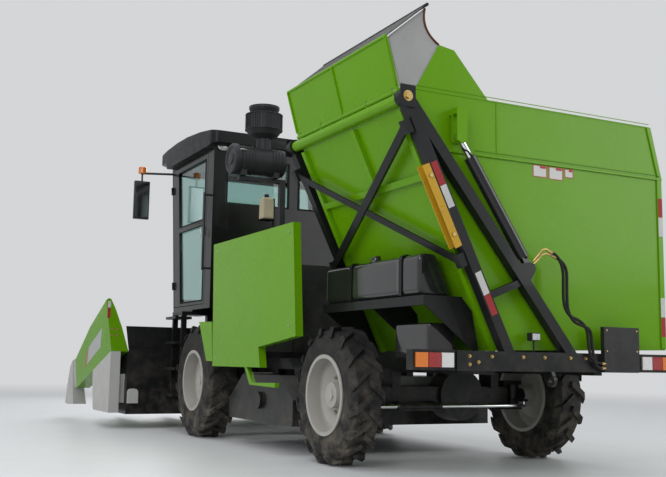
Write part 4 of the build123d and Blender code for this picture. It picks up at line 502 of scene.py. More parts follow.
def add_frame(mesh, outline, wide, thickness):
    """A flat frame inside a closed outline of corners."""
    middle = sum((Vector(c) for c in outline), Vector()) / len(outline)
    corners = [Vector(c) for c in outline]
    inner = [c + (middle - c).normalized() * wide * corner_reach for c in corners]
    for index in range(len(corners)):
        after = (index + 1) % len(corners)
        add_plate(mesh, (corners[index], corners[after], inner[after], inner[index]), thickness)


def door_front(z):
    """X of the door's leaning front edge at a height, ahead of the rear axle."""
    share = (z - cab_low_z) / (cab_high_z - cab_low_z)
    return cab_low_x + (cab_high_x - cab_low_x) * share - door_front_in


seal_rubber = sprayed("seal_rubber", (0.009, 0.009, 0.009), 0.7, drift=0.2, dust=0.0)
door_seals = bmesh.new()
for low, high in ((1.488, 2.3725), (2.4275, 3.140)):
    add_frame(door_seals, line_from_axle(
        (door_back_x, door_face_y, low), (door_front(low), door_face_y, low),
        (door_front(high), door_face_y, high), (door_back_x, door_face_y, high),
    ), 0.016, (0.0, 0.0045, 0.0))
solid_piece("door_seals", door_seals, seal_rubber, "cab_door", 0.002)
window_seals = bmesh.new()
for y0, y1 in ((0.055, 0.850), (-0.850, -0.055)):
    add_frame(window_seals, line_from_axle(
        (window_x, y0, window_low_z), (window_x, y1, window_low_z),
        (window_x, y1, window_high_z), (window_x, y0, window_high_z),
    ), 0.022, (-0.004, 0.0, 0.0))
solid_piece("window_seals", window_seals, seal_rubber, "chassis", 0.002)

# Door latch and grab handle: a bright cast latch with a bent pull, fixed at the door's rear
# edge, and an upright steel tube in black paint beside the opening.


def add_block(mesh, low, high):
    """A rectangular block between two corners."""
    (x0, y0, z0), (x1, y1, z1) = low, high
    add_plate(mesh, ((x0, y0, z0), (x1, y0, z0), (x1, y1, z0), (x0, y1, z0)), (0.0, 0.0, z1 - z0))


def add_rings(mesh, places, sides):
    """A skin over round sections, closed at both ends: each has a middle, two ways across and a radius."""
    turns = [2 * math.pi * k / sides for k in range(sides)]
    rings = []
    for middle, across, other, radius in places:
        ways = [math.cos(t) * across + math.sin(t) * other for t in turns]
        rings.append([mesh.verts.new(middle + radius * way) for way in ways])
    for ring, after in zip(rings, rings[1:]):
        for k in range(sides):
            mesh.faces.new((ring[k], ring[(k + 1) % sides], after[(k + 1) % sides], after[k]))
    mesh.faces.new(list(reversed(rings[0])))
    mesh.faces.new(rings[-1])


def add_pipe(mesh, points, radius, sides=12):
    """A round bar or pipe along a line of points, closed at both ends."""
    points = [Vector(p) for p in points]
    across = (points[1] - points[0]).orthogonal().normalized()
    places = []
    for index, point in enumerate(points):
        along = (points[min(index + 1, len(points) - 1)] - points[max(index - 1, 0)]).normalized()
        across = (across - along * across.dot(along)).normalized()
        places.append((point, across, along.cross(across), radius))
    add_rings(mesh, places, sides)


bright_metal = sprayed("bright_metal", (0.62, 0.62, 0.60), 0.22, metal=1.0, drift=0.08, dust=0.0)
latch = bmesh.new()
add_block(latch, *line_from_axle((3.345, 1.000, 2.235), (3.372, 1.012, 2.345)))
add_pipe(latch, line_from_axle(
    (3.358, 1.010, 2.32), (3.358, 1.046, 2.32), (3.362, 1.052, 2.25), (3.366, 1.050, 2.215),
), 0.008)
solid_piece("door_latch", latch, bright_metal, "cab_door", 0.002)
dress(sprayed("handle_black", (0.016, 0.016, 0.017), 0.38, coat=0.3, drift=0.15), "grab_handles")

# Mirrors: moulded housings with rounded edges on tube arms, with a pane of dark coated glass
# set in each. An amber marker lamp of ribbed plastic stands at the end of each arm.
mirror_in, mirror_out, mirror_low_z, mirror_high_z = 1.262, 1.428, 2.61, 3.055
marker_x, marker_y, marker_radius = 4.85, 1.345, 0.050
shell_black = sprayed("moulded_black", (0.020, 0.021, 0.022), 0.46, drift=0.15, peel=0.8, dust=0.05)
softened("mirror_shells", "mirrors", shell_black, "chassis", 0.026, 4, 35.0)
silvered = sprayed("mirror_silver", (0.22, 0.23, 0.24), 0.09, metal=1.0, drift=0.02, peel=0.02, dust=0.0)
mirror_glass = bmesh.new()
for side in (-1, 1):
    y0, y1 = sorted((side * mirror_in, side * mirror_out))
    add_block(mirror_glass, *line_from_axle((4.8135, y0, mirror_low_z), (4.8165, y1, mirror_high_z)))
solid_piece("mirror_glass", mirror_glass, silvered, "chassis", 0.001)


def lamp_plastic(name, colour, shine=0.0):
    """Ribbed, coloured lamp plastic, a little lit from behind."""
    look, tree, lens, place = new_look(name)
    cells = step(tree, "ShaderNodeTexVoronoi", {"Vector": place, "Scale": 95.0}).outputs["Distance"]
    feed(tree, lens, {
        "Base Color": mixed(tree, cells, colour, toned(colour, 0.55)),
        "Normal": relief(tree, cells, 0.5, 0.002),
        "Roughness": 0.14,
        "Coat Weight": 0.6,
    })
    if shine:
        feed(tree, lens, {"Emission Color": tuple(colour) + (1.0,), "Emission Strength": shine})
    return look


amber = lamp_plastic("amber_lens", (0.62, 0.17, 0.008), 0.05)
marker = bmesh.new()
for side in (-1, 1):
    heights = (3.172, 3.20, 3.23, 3.262)
    add_pipe(marker, [from_axle(marker_x, side * marker_y, z) for z in heights], marker_radius, 24)
solid_piece("marker_lamps", marker, amber, "chassis", 0.012, 3)

# Roof lamps: a round work lamp on each rear corner of the roof, facing back, with a turned
# bright rim round a moulded clear glass.
clear_lens = lamp_plastic("clear_lens", (0.55, 0.56, 0.56))
side_names = {1: "left", -1: "right"}
lamp_rim = (
    (0.052, -0.045), (0.066, -0.040), (0.070, 0.0), (0.070, 0.016), (0.064, 0.022), (0.060, 0.016),
    (0.058, 0.010),
)
lamp_dome = ((0.059, 0.004), (0.059, 0.012), (0.045, 0.018), (0.022, 0.021), (0.006, 0.022))


def turned_shape(name, middle, axis, profile, look, body, sides=48):
    """A turned piece, from radii and distances along its axis, closed at both ends."""
    middle, axis = Vector(middle), Vector(axis).normalized()
    across = axis.orthogonal().normalized()
    other = axis.cross(across)
    mesh = bmesh.new()
    add_rings(mesh, [(middle + axis * along, across, other, radius) for radius, along in profile], sides)
    return solid_piece(name, mesh, look, body)


for side in (-1, 1):
    lamp_at, back = from_axle(3.125, side * 0.900, 3.262), (-1, 0, 0)
    rim_name, glass_name = "roof_lamp_" + side_names[side], "roof_lamp_glass_" + side_names[side]
    turned_shape(rim_name, lamp_at, back, lamp_rim, bright_metal, "chassis")
    turned_shape(glass_name, lamp_at, back, lamp_dome, clear_lens, "chassis")

# Driver's place: a padded seat on its box, and a console with the steering wheel, both in
# black. The seat's cushion and back are foam under woven cover, swelled by a short cloth run.
swell_limit, back_lean = 0.022, -0.07


def woven_cover(name, colour, thread):
    """Woven cloth: crossing threads in relief, with a soft sheen."""
    look, tree, cloth, place = new_look(name)
    weave = {"Vector": place, "Scale": 1.0 / thread, "Distortion": 0.4}
    threads = [step(tree, "ShaderNodeTexWave", weave, bands_direction=way).outputs["Fac"] for way in "YZ"]
    feed(tree, cloth, {
        "Base Color": mixed(tree, noise(tree, place, 4.0, 6.0), toned(colour, 0.7), colour),
        "Normal": relief(tree, maths(tree, "MAXIMUM", *threads), 0.5, 0.0008),
        "Roughness": 0.86,
        "Sheen Weight": 0.25,
    })
    return look


def skinned(piece, cell):
    """Gives a piece an even skin of small faces."""
    skin = piece.modifiers.new("skin", "REMESH")
    skin.mode = "VOXEL"
    skin.voxel_size = cell


def cover(piece, look):
    """Gives a piece one finish all over, smooth shaded."""
    piece.data.materials.clear()
    piece.data.materials.append(look)
    piece.data.shade_smooth()


def swelled_pad(name, low, high, lean, look):
    """A foam pad: a slightly small block, remeshed, swelled under cloth pressure and smoothed."""
    block = bmesh.new()
    add_block(block, low, high)
    for corner in block.verts:
        corner.co.x += lean * (corner.co.z - low[2])
    bmesh.ops.recalc_face_normals(block, faces=block.faces)
    pad = kept_piece(name, block)
    skinned(pad, 0.011)
    settle(pad)
    before = [v.co.copy() for v in pad.data.vertices]
    cloth = pad.modifiers.new("cloth", "CLOTH")
    cloth.settings.use_pressure = True
    cloth.settings.uniform_pressure_force = 4.0
    cloth.settings.effector_weights.gravity = 0.0
    for frame_number in range(1, 21):
        scene.frame_set(frame_number)
    settle(pad)
    for vertex, start in zip(pad.data.vertices, before):
        move = vertex.co - start
        if move.length > swell_limit:
            vertex.co = start + move.normalized() * swell_limit
    scene.frame_set(1)
    cover(pad, look)
    rounder = pad.modifiers.new("rounder", "SUBSURF")
    rounder.levels = rounder.render_levels = 1
    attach(pad, "chassis")
    return pad


seat_cloth = woven_cover("seat_cloth", (0.030, 0.031, 0.034), 0.0045)
seat_cushion = swelled_pad(
    "seat_cushion", from_axle(3.405, -0.225, 1.825), from_axle(3.845, 0.225, 1.905), 0.0, seat_cloth)
seat_back = swelled_pad(
    "seat_back", from_axle(3.405, -0.215, 1.945), from_axle(3.490, 0.215, 2.495), back_lean, seat_cloth)
seat_base = bmesh.new()
add_block(seat_base, *line_from_axle((3.440, -0.190, 1.450), (3.800, 0.190, 1.812)))
for side in (-1, 1):
    y0, y1 = sorted((side * 0.150, side * 0.180))
    add_plate(seat_base, line_from_axle(
        (3.40, y0, 1.80), (3.44, y0, 1.80), (3.40, y0, 2.05), (3.36, y0, 2.05),
    ), (0.0, y1 - y0, 0.0))
seat_base = solid_piece("seat_base", seat_base, shell_black, "chassis", 0.012, 3)
for seat_part in (seat_cushion, seat_back, seat_base):
    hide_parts("driver_seat")
dress(shell_black, "steering_console")

# Engine under the cab's rear, with its gear case: cast iron painted dark grey, oily and dusty.
# A blow-moulded coolant can with a screw cap stands on a steel bracket behind the cab.
cast_iron = sprayed("cast_iron", (0.030, 0.031, 0.033), 0.62, drift=0.3, peel=1.0, dust=0.35, dust_top=2.2)
dress(cast_iron, "engine_block")
coolant_plastic = sprayed("coolant_plastic", (0.42, 0.37, 0.25), 0.45, drift=0.1, dust=0.1, dust_top=2.6)
can_x, can_y, shoulder_z, shoulder_in = 2.60, 0.565, 2.5, 0.012
can = bmesh.new()
add_block(can, *line_from_axle((2.53, 0.50, 2.36), (2.67, 0.63, 2.60)))
for corner in can.verts:
    if corner.co.z > shoulder_z:
        corner.co.x += shoulder_in if corner.co.x < can_x + rear_axle_x else -shoulder_in
solid_piece("coolant_can", can, coolant_plastic, "chassis", 0.022, 4)
can_cap = bmesh.new()
add_pipe(can_cap, [from_axle(can_x, can_y, z) for z in (2.597, 2.61, 2.625, 2.640)], 0.026, 20)
solid_piece("coolant_cap", can_cap, shell_black, "chassis", 0.003)
can_stand = bmesh.new()
add_block(can_stand, *line_from_axle((2.52, 0.49, 2.352), (2.68, 0.64, 2.360)))
add_block(can_stand, *line_from_axle((2.585, 0.470, 1.70), (2.615, 0.490, 2.60)))
solid_piece("can_stand", can_stand, frame_black, "chassis", 0.002)

# Air intake: a lying cleaner of moulded black plastic with ribs, a service cover and wire
# clips, and a cyclone cap of the same plastic with fins, standing over its pipe.
cleaner_x, cleaner_z, rib_radius = 2.05, 2.87, 0.1425
cyclone_y, cyclone_z, fin_radius = 0.85, 3.285, 0.188
cleaner_black = sprayed(
    "cleaner_black", (0.024, 0.025, 0.027), 0.42, drift=0.12, peel=0.7, dust=0.12, dust_top=3.5)
dress(cleaner_black, "air_intake")


def ring_layout():
    """Fins or ribs that stand side by side round an axis, on a circle of one radius."""
    tree, given = new_layout("ring_of_fins", (
        ("Middle", "Vector"), ("Turn", "Rotation"), ("Radius", "Float"), ("Count", "Int"), ("Fin", "Vector"),
        ("Lean", "Float"), ("Finish", "Material"),
    ), "Fins")
    circle = step(tree, "GeometryNodeMeshCircle", {"Vertices": given["Count"], "Radius": given["Radius"]})
    fin = step(tree, "GeometryNodeMeshCube", {"Size": given["Fin"]})
    outward = step(tree, "GeometryNodeInputPosition")
    faced = step(
        tree, "FunctionNodeAlignRotationToVector", {"Vector": outward.outputs[0]}, axis="X", pivot_axis="Z")
    lean = step(tree, "ShaderNodeCombineXYZ", {"Z": given["Lean"]})
    leaned = step(tree, "FunctionNodeEulerToRotation", {0: lean.outputs[0]})
    both_turns = step(
        tree, "FunctionNodeRotateRotation", {0: faced.outputs[0], 1: leaned.outputs[0]}, rotation_space="LOCAL")
    standing = step(tree, "GeometryNodeInstanceOnPoints", {
        "Points": circle.outputs[0], "Instance": fin.outputs["Mesh"], "Rotation": both_turns.outputs[0],
    })
    placed = step(tree, "GeometryNodeTransform", {
        "Geometry": standing.outputs[0], "Translation": given["Middle"], "Rotation": given["Turn"],
    })
    return close_layout(tree, placed.outputs[0], given["Finish"])


fins = ring_layout()
cyclone_fins = {
    "Middle": from_axle(cleaner_x, cyclone_y, cyclone_z), "Radius": fin_radius, "Count": 40,
    "Fin": (0.012, 0.008, 0.150), "Lean": 0.5, "Finish": cleaner_black,
}
laid_out("cyclone_fins", fins, cyclone_fins, "chassis")
for index, rib_y in enumerate((0.680, 0.715, 0.750, 0.785, 0.985, 1.020, 1.055, 1.090, 1.125)):
    rib = {
        "Middle": from_axle(cleaner_x, rib_y, cleaner_z), "Turn": (math.pi / 2, 0.0, 0.0),
        "Radius": rib_radius, "Count": 56, "Fin": (0.010, 0.0176, 0.010), "Lean": 0.0,
        "Finish": cleaner_black,
    }
    laid_out("cleaner_rib_%d" % index, fins, rib, "chassis")
cover_profile = (
    (0.146, -0.055), (0.157, -0.050), (0.158, -0.004), (0.148, 0.010), (0.124, 0.012), (0.114, 0.002),
    (0.062, 0.002), (0.056, 0.014), (0.030, 0.016),
)
cover_at = from_axle(cleaner_x, 1.1995, cleaner_z)
turned_shape(
    "cleaner_cover", cover_at, (0, 1, 0), cover_profile, cleaner_black, "chassis")
clips = bmesh.new()
for clip_turn in range(3):
    clip_angle = math.radians(30 + 120 * clip_turn)
    out = Vector((math.cos(clip_angle), 0.0, math.sin(clip_angle)))
    base = Vector(from_axle(cleaner_x, 1.12, cleaner_z)) + out * 0.150
    hook, end = base + Vector((0, -0.03, 0)), base + Vector((0, 0.04, 0)) + out * 0.006
    add_pipe(clips, [hook, base + out * 0.010, end], 0.006, 8)
solid_piece("cleaner_clips", clips, bright_metal, "chassis")
band = ((0.1935, -0.006), (0.1965, -0.004), (0.1965, 0.004), (0.1935, 0.006))
for index, z in enumerate((3.2055, 3.365)):
    band_at = from_axle(cleaner_x, cyclone_y, z)
    turned_shape(
        "cyclone_band_%d" % index, band_at, (0, 0, 1), band, cleaner_black, "chassis", 64)

# Cylinders, track rod and valve box: honed tubes and a cast box, painted gloss black, and
# rods of ground steel, bright with chrome.
cylinder_black = sprayed("cylinder_black", (0.014, 0.014, 0.015), 0.26, coat=0.5, drift=0.1, dust=0.1)
dress(cylinder_black, "lift_barrels", "tip_barrels", "valve_box")
chrome = sprayed("chrome", (0.72, 0.73, 0.74), 0.10, metal=1.0, drift=0.05, peel=0.03, dust=0.05)
dress(chrome, "lift_rods", "tip_rods", "steering_rod")

# Working steel: rolls, chains, the gathering screw and the shredder's rotor, ground bright by
# the stalks, with dull brown in soft patches.


def worn_steel(name, bright, brown, share):
    """Bare steel, polished by use where it is bright and rusted in soft patches."""
    look = sprayed(name, bright, 0.36, metal=0.9, drift=0.2, peel=0.6, dust=0.3, dust_top=1.2)
    tree, skin, place = opened(look)
    patch = spread(tree, noise(tree, place, 11.0, 9.0, Roughness=0.75), 0.60 - share * 0.2, 0.78)
    feed(tree, skin, {
        "Base Color": mixed(tree, patch, fed_by(skin.inputs["Base Color"]), brown),
        "Metallic": maths(tree, "SUBTRACT", 0.9, patch, use_clamp=True),
    })
    return look


stalk_steel = worn_steel("stalk_polished", (0.36, 0.35, 0.33), (0.13, 0.06, 0.025), 0.5)
dress(stalk_steel, "snapping_rolls", "gathering_chains", "header_auger", "shredder_rotor")

# Side panels: green sheet with edges folded back for stiffness, held by quarter-turn studs.
# The top edge is left open, so it has no fold.
panel_line = ((2.330, 2.005), (0.370, 2.000), (0.280, 1.027), (1.076, 0.943), (1.030, 0.760), (2.262, 0.760))
fold_thickness, panel_top_z, panel_face_y = 0.0035, 1.5, 1.262
folds = bmesh.new()
for side in (-1, 1):
    y0, y1 = sorted((side * 1.190, side * 1.2465))
    for (xa, za), (xb, zb) in zip(panel_line, panel_line[1:] + panel_line[:1]):
        run = Vector((xb - xa, zb - za)).normalized()
        inward = Vector((-run.y, run.x)) * -fold_thickness
        if abs(za - zb) < 0.01 and za > panel_top_z:
            continue
        add_plate(folds, line_from_axle(
            (xa, y0, za), (xb, y0, zb), (xb - inward.x, y0, zb - inward.y), (xa - inward.x, y0, za - inward.y),
        ), (0.0, y1 - y0, 0.0))
solid_piece("panel_folds", folds, body_green, "chassis")
stud_places = ((0.42, 1.12), (0.46, 1.92), (2.20, 1.92), (2.16, 0.84))
for side in (-1, 1):
    places = [from_axle(x, side * panel_face_y, z) for x, z in stud_places]
    name, outward = "panel_studs_" + side_names[side], (0.0, float(side), 0.0)
    heads(name, 0.022, 0.006, outward, zinc, "chassis", places)

# Fuel tank and oil reservoir: rotomoulded black plastic with soft edges and a wavy gloss. The
# fuel tank lies on its shelf, with a round filler cap, and the reservoir is a smaller box below.
tank_black = sprayed(
    "tank_black", (0.012, 0.012, 0.013), 0.17, coat=0.9, drift=0.1, waves=0.02, peel=0.12, dust=0.08,
    dust_top=1.9,
)


def moulded_skin(name, node, look, body, easing_steps):
    """A moulded tank's skin over its CAD piece: fine faces with eased edges."""
    piece = kept_piece(name, node_copy(node))
    skinned(piece, 0.012)
    easing = piece.modifiers.new("easing", "SMOOTH")
    easing.factor = 0.5
    easing.iterations = easing_steps
    settle(piece)
    cover(piece, look)
    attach(piece, body)
    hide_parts(node)
    return piece


moulded_skin("fuel_tank_skin", "fuel_tank", tank_black, "chassis", 5)
moulded_skin("oil_reservoir_skin", "hydraulic_reservoir", tank_black, "chassis", 7)

# Straps over the fuel tank: bands of pressed steel in gloss black paint, bent round the
# tank's outer side, its top and its slanting inner side.
strap_width, strap_thickness = 0.040, 0.005
strap_line = (
    (0.9595, 1.312), (0.9595, 1.575), (0.951, 1.600), (0.928, 1.6145), (0.822, 1.6145), (0.796, 1.604),
    (0.668, 1.325),
)
straps = bmesh.new()
for strap_x in (-0.90, -0.12):
    for (y0, z0), (y1, z1) in zip(strap_line, strap_line[1:]):
        along = Vector((0.0, y1 - y0, z1 - z0)).normalized()
        out = Vector((0.0, along.z, -along.y)) * strap_thickness
        near = Vector(from_axle(strap_x - strap_width / 2, y0, z0))
        far = Vector(from_axle(strap_x - strap_width / 2, y1, z1))
        add_plate(straps, (near, far, far + out, near + out), (strap_width, 0.0, 0.0))
solid_piece("tank_straps", straps, cab_gloss, "chassis", 0.001)

# Tail lamps: folded steel boxes in the frame's black paint at both ends of the tail beam,
# with moulded lenses, amber outside, then red, and clear on the inside.
amber_from, clear_to = 1.078, 0.972
dress(frame_black, "tail_lamps")
tail_lens = lamp_plastic("tail_lens", (0.36, 0.012, 0.012), 0.02)
tree, lens, place = opened(tail_lens)
across_beam = step(tree, "ShaderNodeSeparateXYZ", {0: place}).outputs["Y"]
from_middle = maths(tree, "ABSOLUTE", across_beam)
amber_part = maths(tree, "GREATER_THAN", from_middle, amber_from)
clear_part = maths(tree, "LESS_THAN", from_middle, clear_to)
with_amber = mixed(tree, amber_part, fed_by(lens.inputs["Base Color"]), (0.62, 0.16, 0.01))
feed(tree, lens, {"Base Color": mixed(tree, clear_part, with_amber, (0.60, 0.60, 0.58))})
dress(tail_lens, "lamp_lenses")

# Safety prop on the tipping frame: a folded channel painted signal yellow, with small chips
# in the paint down to dark steel.
prop_yellow = sprayed("prop_yellow", (0.47, 0.27, 0.014), 0.34, coat=0.3, drift=0.1, dust=0.08, dust_top=2.4)
tree, paint, place = opened(prop_yellow)
chipped = spread(tree, noise(tree, place, 42.0, 8.0), 0.68, 0.71)
feed(tree, paint, {"Base Color": mixed(tree, chipped, fed_by(paint.inputs["Base Color"]), (0.10, 0.09, 0.08))})
dress(prop_yellow, "safety_prop")

# End screens of the flap: grey canvas stretched between the tank's end wall and the flap,
# with a brown bound edge on the free side.
canvas = woven_cover("screen_canvas", (0.34, 0.34, 0.335), 0.006)
binding = sprayed("brown_binding", (0.085, 0.028, 0.012), 0.6, drift=0.25, dust=0.0)
low_point, wall_top = Vector((1.150, 2.700)), Vector((0.920, 3.110))
flap_foot, flap_edge, bar_end = Vector((1.243, 2.735)), Vector((1.350, 3.097)), Vector((1.040, 3.362))
edge_steps, rows_up, rows_across = 12, 30, 16
edge_sag, sag_way, crease = 0.052, Vector((0.93, -0.37)), 0.0018


def along_line(points, share):
    """A place on a line of points, by its share of the whole length."""
    spans = [(b - a).length for a, b in zip(points, points[1:])]
    left = share * sum(spans)
    for (a, b), span in zip(zip(points, points[1:]), spans):
        if left <= span + 1e-9:
            return a.lerp(b, left / span)
        left -= span
    return points[-1]


def add_skin(mesh, rows):
    """Faces between neighbouring rows of corners."""
    for row, after in zip(rows, rows[1:]):
        for k in range(len(row) - 1):
            mesh.faces.new((row[k], row[k + 1], after[k + 1], after[k]))


free_edge = []
for index in range(edge_steps + 1):
    share = index / edge_steps
    free_edge.append(wall_top.lerp(bar_end, share) + sag_way * 4 * share * (1 - share) * edge_sag)
wall_side = [low_point, wall_top] + free_edge[1:]
flap_side = [low_point, flap_foot, flap_edge, bar_end]
for name, screen_x, billow in (("rear_screen", -4.0735, 0.014), ("front_screen", -2.4565, -0.014)):
    mesh = bmesh.new()
    rows = []
    for up in range(rows_up + 1):
        left, right = along_line(wall_side, up / rows_up), along_line(flap_side, up / rows_up)
        row = []
        for across in range(rows_across + 1):
            spot = left.lerp(right, across / rows_across)
            bulge = math.sin(math.pi * across / rows_across)
            swell = billow * math.sin(math.pi * up / rows_up) * bulge
            swell += crease * math.sin(across * 1.9 + up * 0.35) * bulge
            row.append(mesh.verts.new((screen_x + swell, spot.x, spot.y)))
        rows.append(row)
    add_skin(mesh, rows)
    bmesh.ops.remove_doubles(mesh, verts=mesh.verts, dist=1e-5)
    cut_area = sum(face.calc_area() for face in mesh.faces)
    screen = kept_piece(name, mesh, canvas)
    cloth_wall = screen.modifiers.new("cloth", "SOLIDIFY")
    cloth_wall.thickness = 0.003
    cloth_wall.offset = 0.0
    hem = bmesh.new()
    add_pipe(hem, [(screen_x, p.x, p.y) for p in free_edge], 0.009, 10)
    bmesh.ops.recalc_face_normals(hem, faces=hem.faces)
    hem_piece = kept_piece(name + "_hem", hem, binding)
    for piece in (screen, hem_piece):
        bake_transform(piece)
    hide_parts("tank_gussets")

# Lip of the flap: a black rubber sheet under a folded green edge, with a round bar along its
# free side. Three green ribs stiffen the flap.
fold_y, fold_z, rib_half = 1.372, 3.098, 0.006
lip_rubber = sprayed("lip_rubber", (0.014, 0.014, 0.014), 0.5, drift=0.2, waves=0.004, dust=0.0)
dress(lip_rubber, "flap_lip")
flap_fold = bmesh.new()
add_pipe(flap_fold, [(x, fold_y, fold_z) for x in (-4.093, -3.5, -3.0, -2.437)], 0.013, 14)
for rib_x in (-4.085, -3.265, -2.445):
    rib_line = ((1.275, 2.75), (1.290, 2.75), (1.388, 3.092), (1.373, 3.092))
    add_plate(flap_fold, [(rib_x - rib_half, y, z) for y, z in rib_line], (2 * rib_half, 0.0, 0.0))
solid_piece("flap_fold", flap_fold, body_green, "flap", 0.002)

# Tank walls: folded green sheet with a doubled seam, a welded corner strip and a stiffening
# ledge. Blank plates with red edges are fixed to the rear wall.
rear_x = -4.075
seams = bmesh.new()
# height of the seam off the wall, then its corners' Y and Z
for proud, y0, z0, y1, z1 in (
    (0.004, -1.125, 2.748, 1.105, 2.756), (0.004, -1.125, 2.778, 1.105, 2.784),
    (0.006, -1.236, 2.362, 0.60, 2.369), (0.005, 0.408, 2.36, 0.414, 2.745),
    (0.012, -1.2385, 0.96, -1.190, 2.35),
):
    add_block(seams, (rear_x - proud, y0, z0), (rear_x + 0.001, y1, z1))
corner_line = ((-1.2385, 2.35), (-1.196, 2.36), (-1.092, 2.75), (-1.1335, 2.755))
add_plate(seams, [(rear_x - 0.012, y, z) for y, z in corner_line], (0.013, 0.0, 0.0))
solid_piece("tank_seams", seams, body_green, "tank", 0.0018)
plate_white = sprayed("plate_white", (0.52, 0.52, 0.50), 0.35, drift=0.05, dust=0.0)
plate_red = sprayed("plate_red", (0.36, 0.02, 0.018), 0.35, drift=0.05, dust=0.0)
blank_plates, plate_edges, edge_x = bmesh.new(), bmesh.new(), rear_x - 0.003
for y0, y1, z0, z1 in (
    (-0.060, 0.075, 2.228, 2.318), (-0.215, -0.078, 2.222, 2.318), (-0.318, -0.232, 2.250, 2.318),
):
    add_block(blank_plates, (rear_x - 0.0025, y0, z0), (rear_x + 0.0005, y1, z1))
    outline = [(edge_x, y, z) for y, z in ((y0, z0), (y1, z0), (y1, z1), (y0, z1))]
    add_frame(plate_edges, outline, 0.006, (0.001, 0.0, 0.0))
    add_block(plate_edges, (edge_x, y0 + 0.01, z1 - 0.022), (edge_x + 0.001, (y0 + y1) / 2, z1 - 0.006))
solid_piece("blank_plates", blank_plates, plate_white, "tank", 0.0008)
solid_piece("plate_edges", plate_edges, plate_red, "tank")

# Reflecting tape: red and white blocks of woven film, stuck along the tank's far corner and
# down the rear leg of the tipping frame.
tape_thickness, tape_half, leg_face_x = 0.0012, 0.027, -4.185
apex, foot = Vector((1.250, 2.655)), Vector((0.390, 0.910))
leg_down = (foot - apex).normalized()
leg_out = Vector((-leg_down.y, leg_down.x))
tape_red = woven_cover("tape_red", (0.33, 0.010, 0.012), 0.004)
tape_white = woven_cover("tape_white", (0.56, 0.56, 0.54), 0.004)


def tape_strip(mesh, x_face, corners_yz):
    """One block of tape on a face across the machine."""
    add_plate(mesh, [(x_face - tape_thickness, y, z) for y, z in corners_yz], (tape_thickness, 0.0, 0.0))


for name, look, spans in (
    ("tank_tape_red", tape_red, ((2.02, 2.175), (1.055, 1.210))),
    ("tank_tape_white", tape_white, ((1.862, 2.018), (1.212, 1.365))),
):
    strips = bmesh.new()
    for z0, z1 in spans:
        tape_strip(strips, rear_x - 0.012, ((-1.238, z0), (-1.192, z0), (-1.192, z1), (-1.238, z1)))
    solid_piece(name, strips, look, "tank")
for name, look, spans in (
    ("leg_tape_red", tape_red, ((0.490, 0.665), (1.505, 1.660))),
    ("leg_tape_white", tape_white, ((0.668, 0.835), (1.330, 1.502))),
):
    strips = bmesh.new()
    for s0, s1 in spans:
        ends = ((s0, -tape_half), (s0, tape_half), (s1, tape_half), (s1, -tape_half))
        corners = [tuple(apex + leg_down * down + leg_out * out) for down, out in ends]
        tape_strip(strips, leg_face_x, corners)
    solid_piece(name, strips, look, "chassis")

# Pivot plates, nuts and screws: black keeper plates at the tipping pivots, and yellow-zinc
# bolt heads at the pivot, the prop, the tail beam and the hanging box.
passivated = sprayed("yellow_zinc", (0.50, 0.36, 0.14), 0.34, metal=0.9, drift=0.25, dust=0.1, dust_top=3.0)
plate_line = ((1.187, 2.575), (1.313, 2.575), (1.313, 2.735), (1.187, 2.735))
beam_x, box_x = -4.192, -4.2255
pin_plates = bmesh.new()
for x0 in (-4.196, -2.281):
    add_plate(pin_plates, [(x0, y, z) for y, z in plate_line], (0.007, 0.0, 0.0))
solid_piece("pin_plates", pin_plates, frame_black, "chassis", 0.003)
beam_row = [(beam_x, y, 0.872) for y in (0.735, 0.545, 0.270, 0.075, -0.165, -0.310, -0.72)]
for name, across, high, places in (
    ("pivot_nuts", 0.045, 0.018, [(-4.203, 1.250, 2.655)]),
    ("prop_bolts", 0.026, 0.012, [(-4.189, 1.055, 2.115), (-4.189, 0.865, 1.715)]),
    ("beam_bolts", 0.015, 0.012, beam_row + [(beam_x, 0.735, 0.815), (beam_x, 0.66, 0.832)]),
    ("box_screws", 0.012, 0.006, [(box_x, y, z) for y in (-0.485, -0.785) for z in (0.93, 1.085)]),
):
    heads(name, across, high, (-1.0, 0.0, 0.0), passivated, "chassis", places)

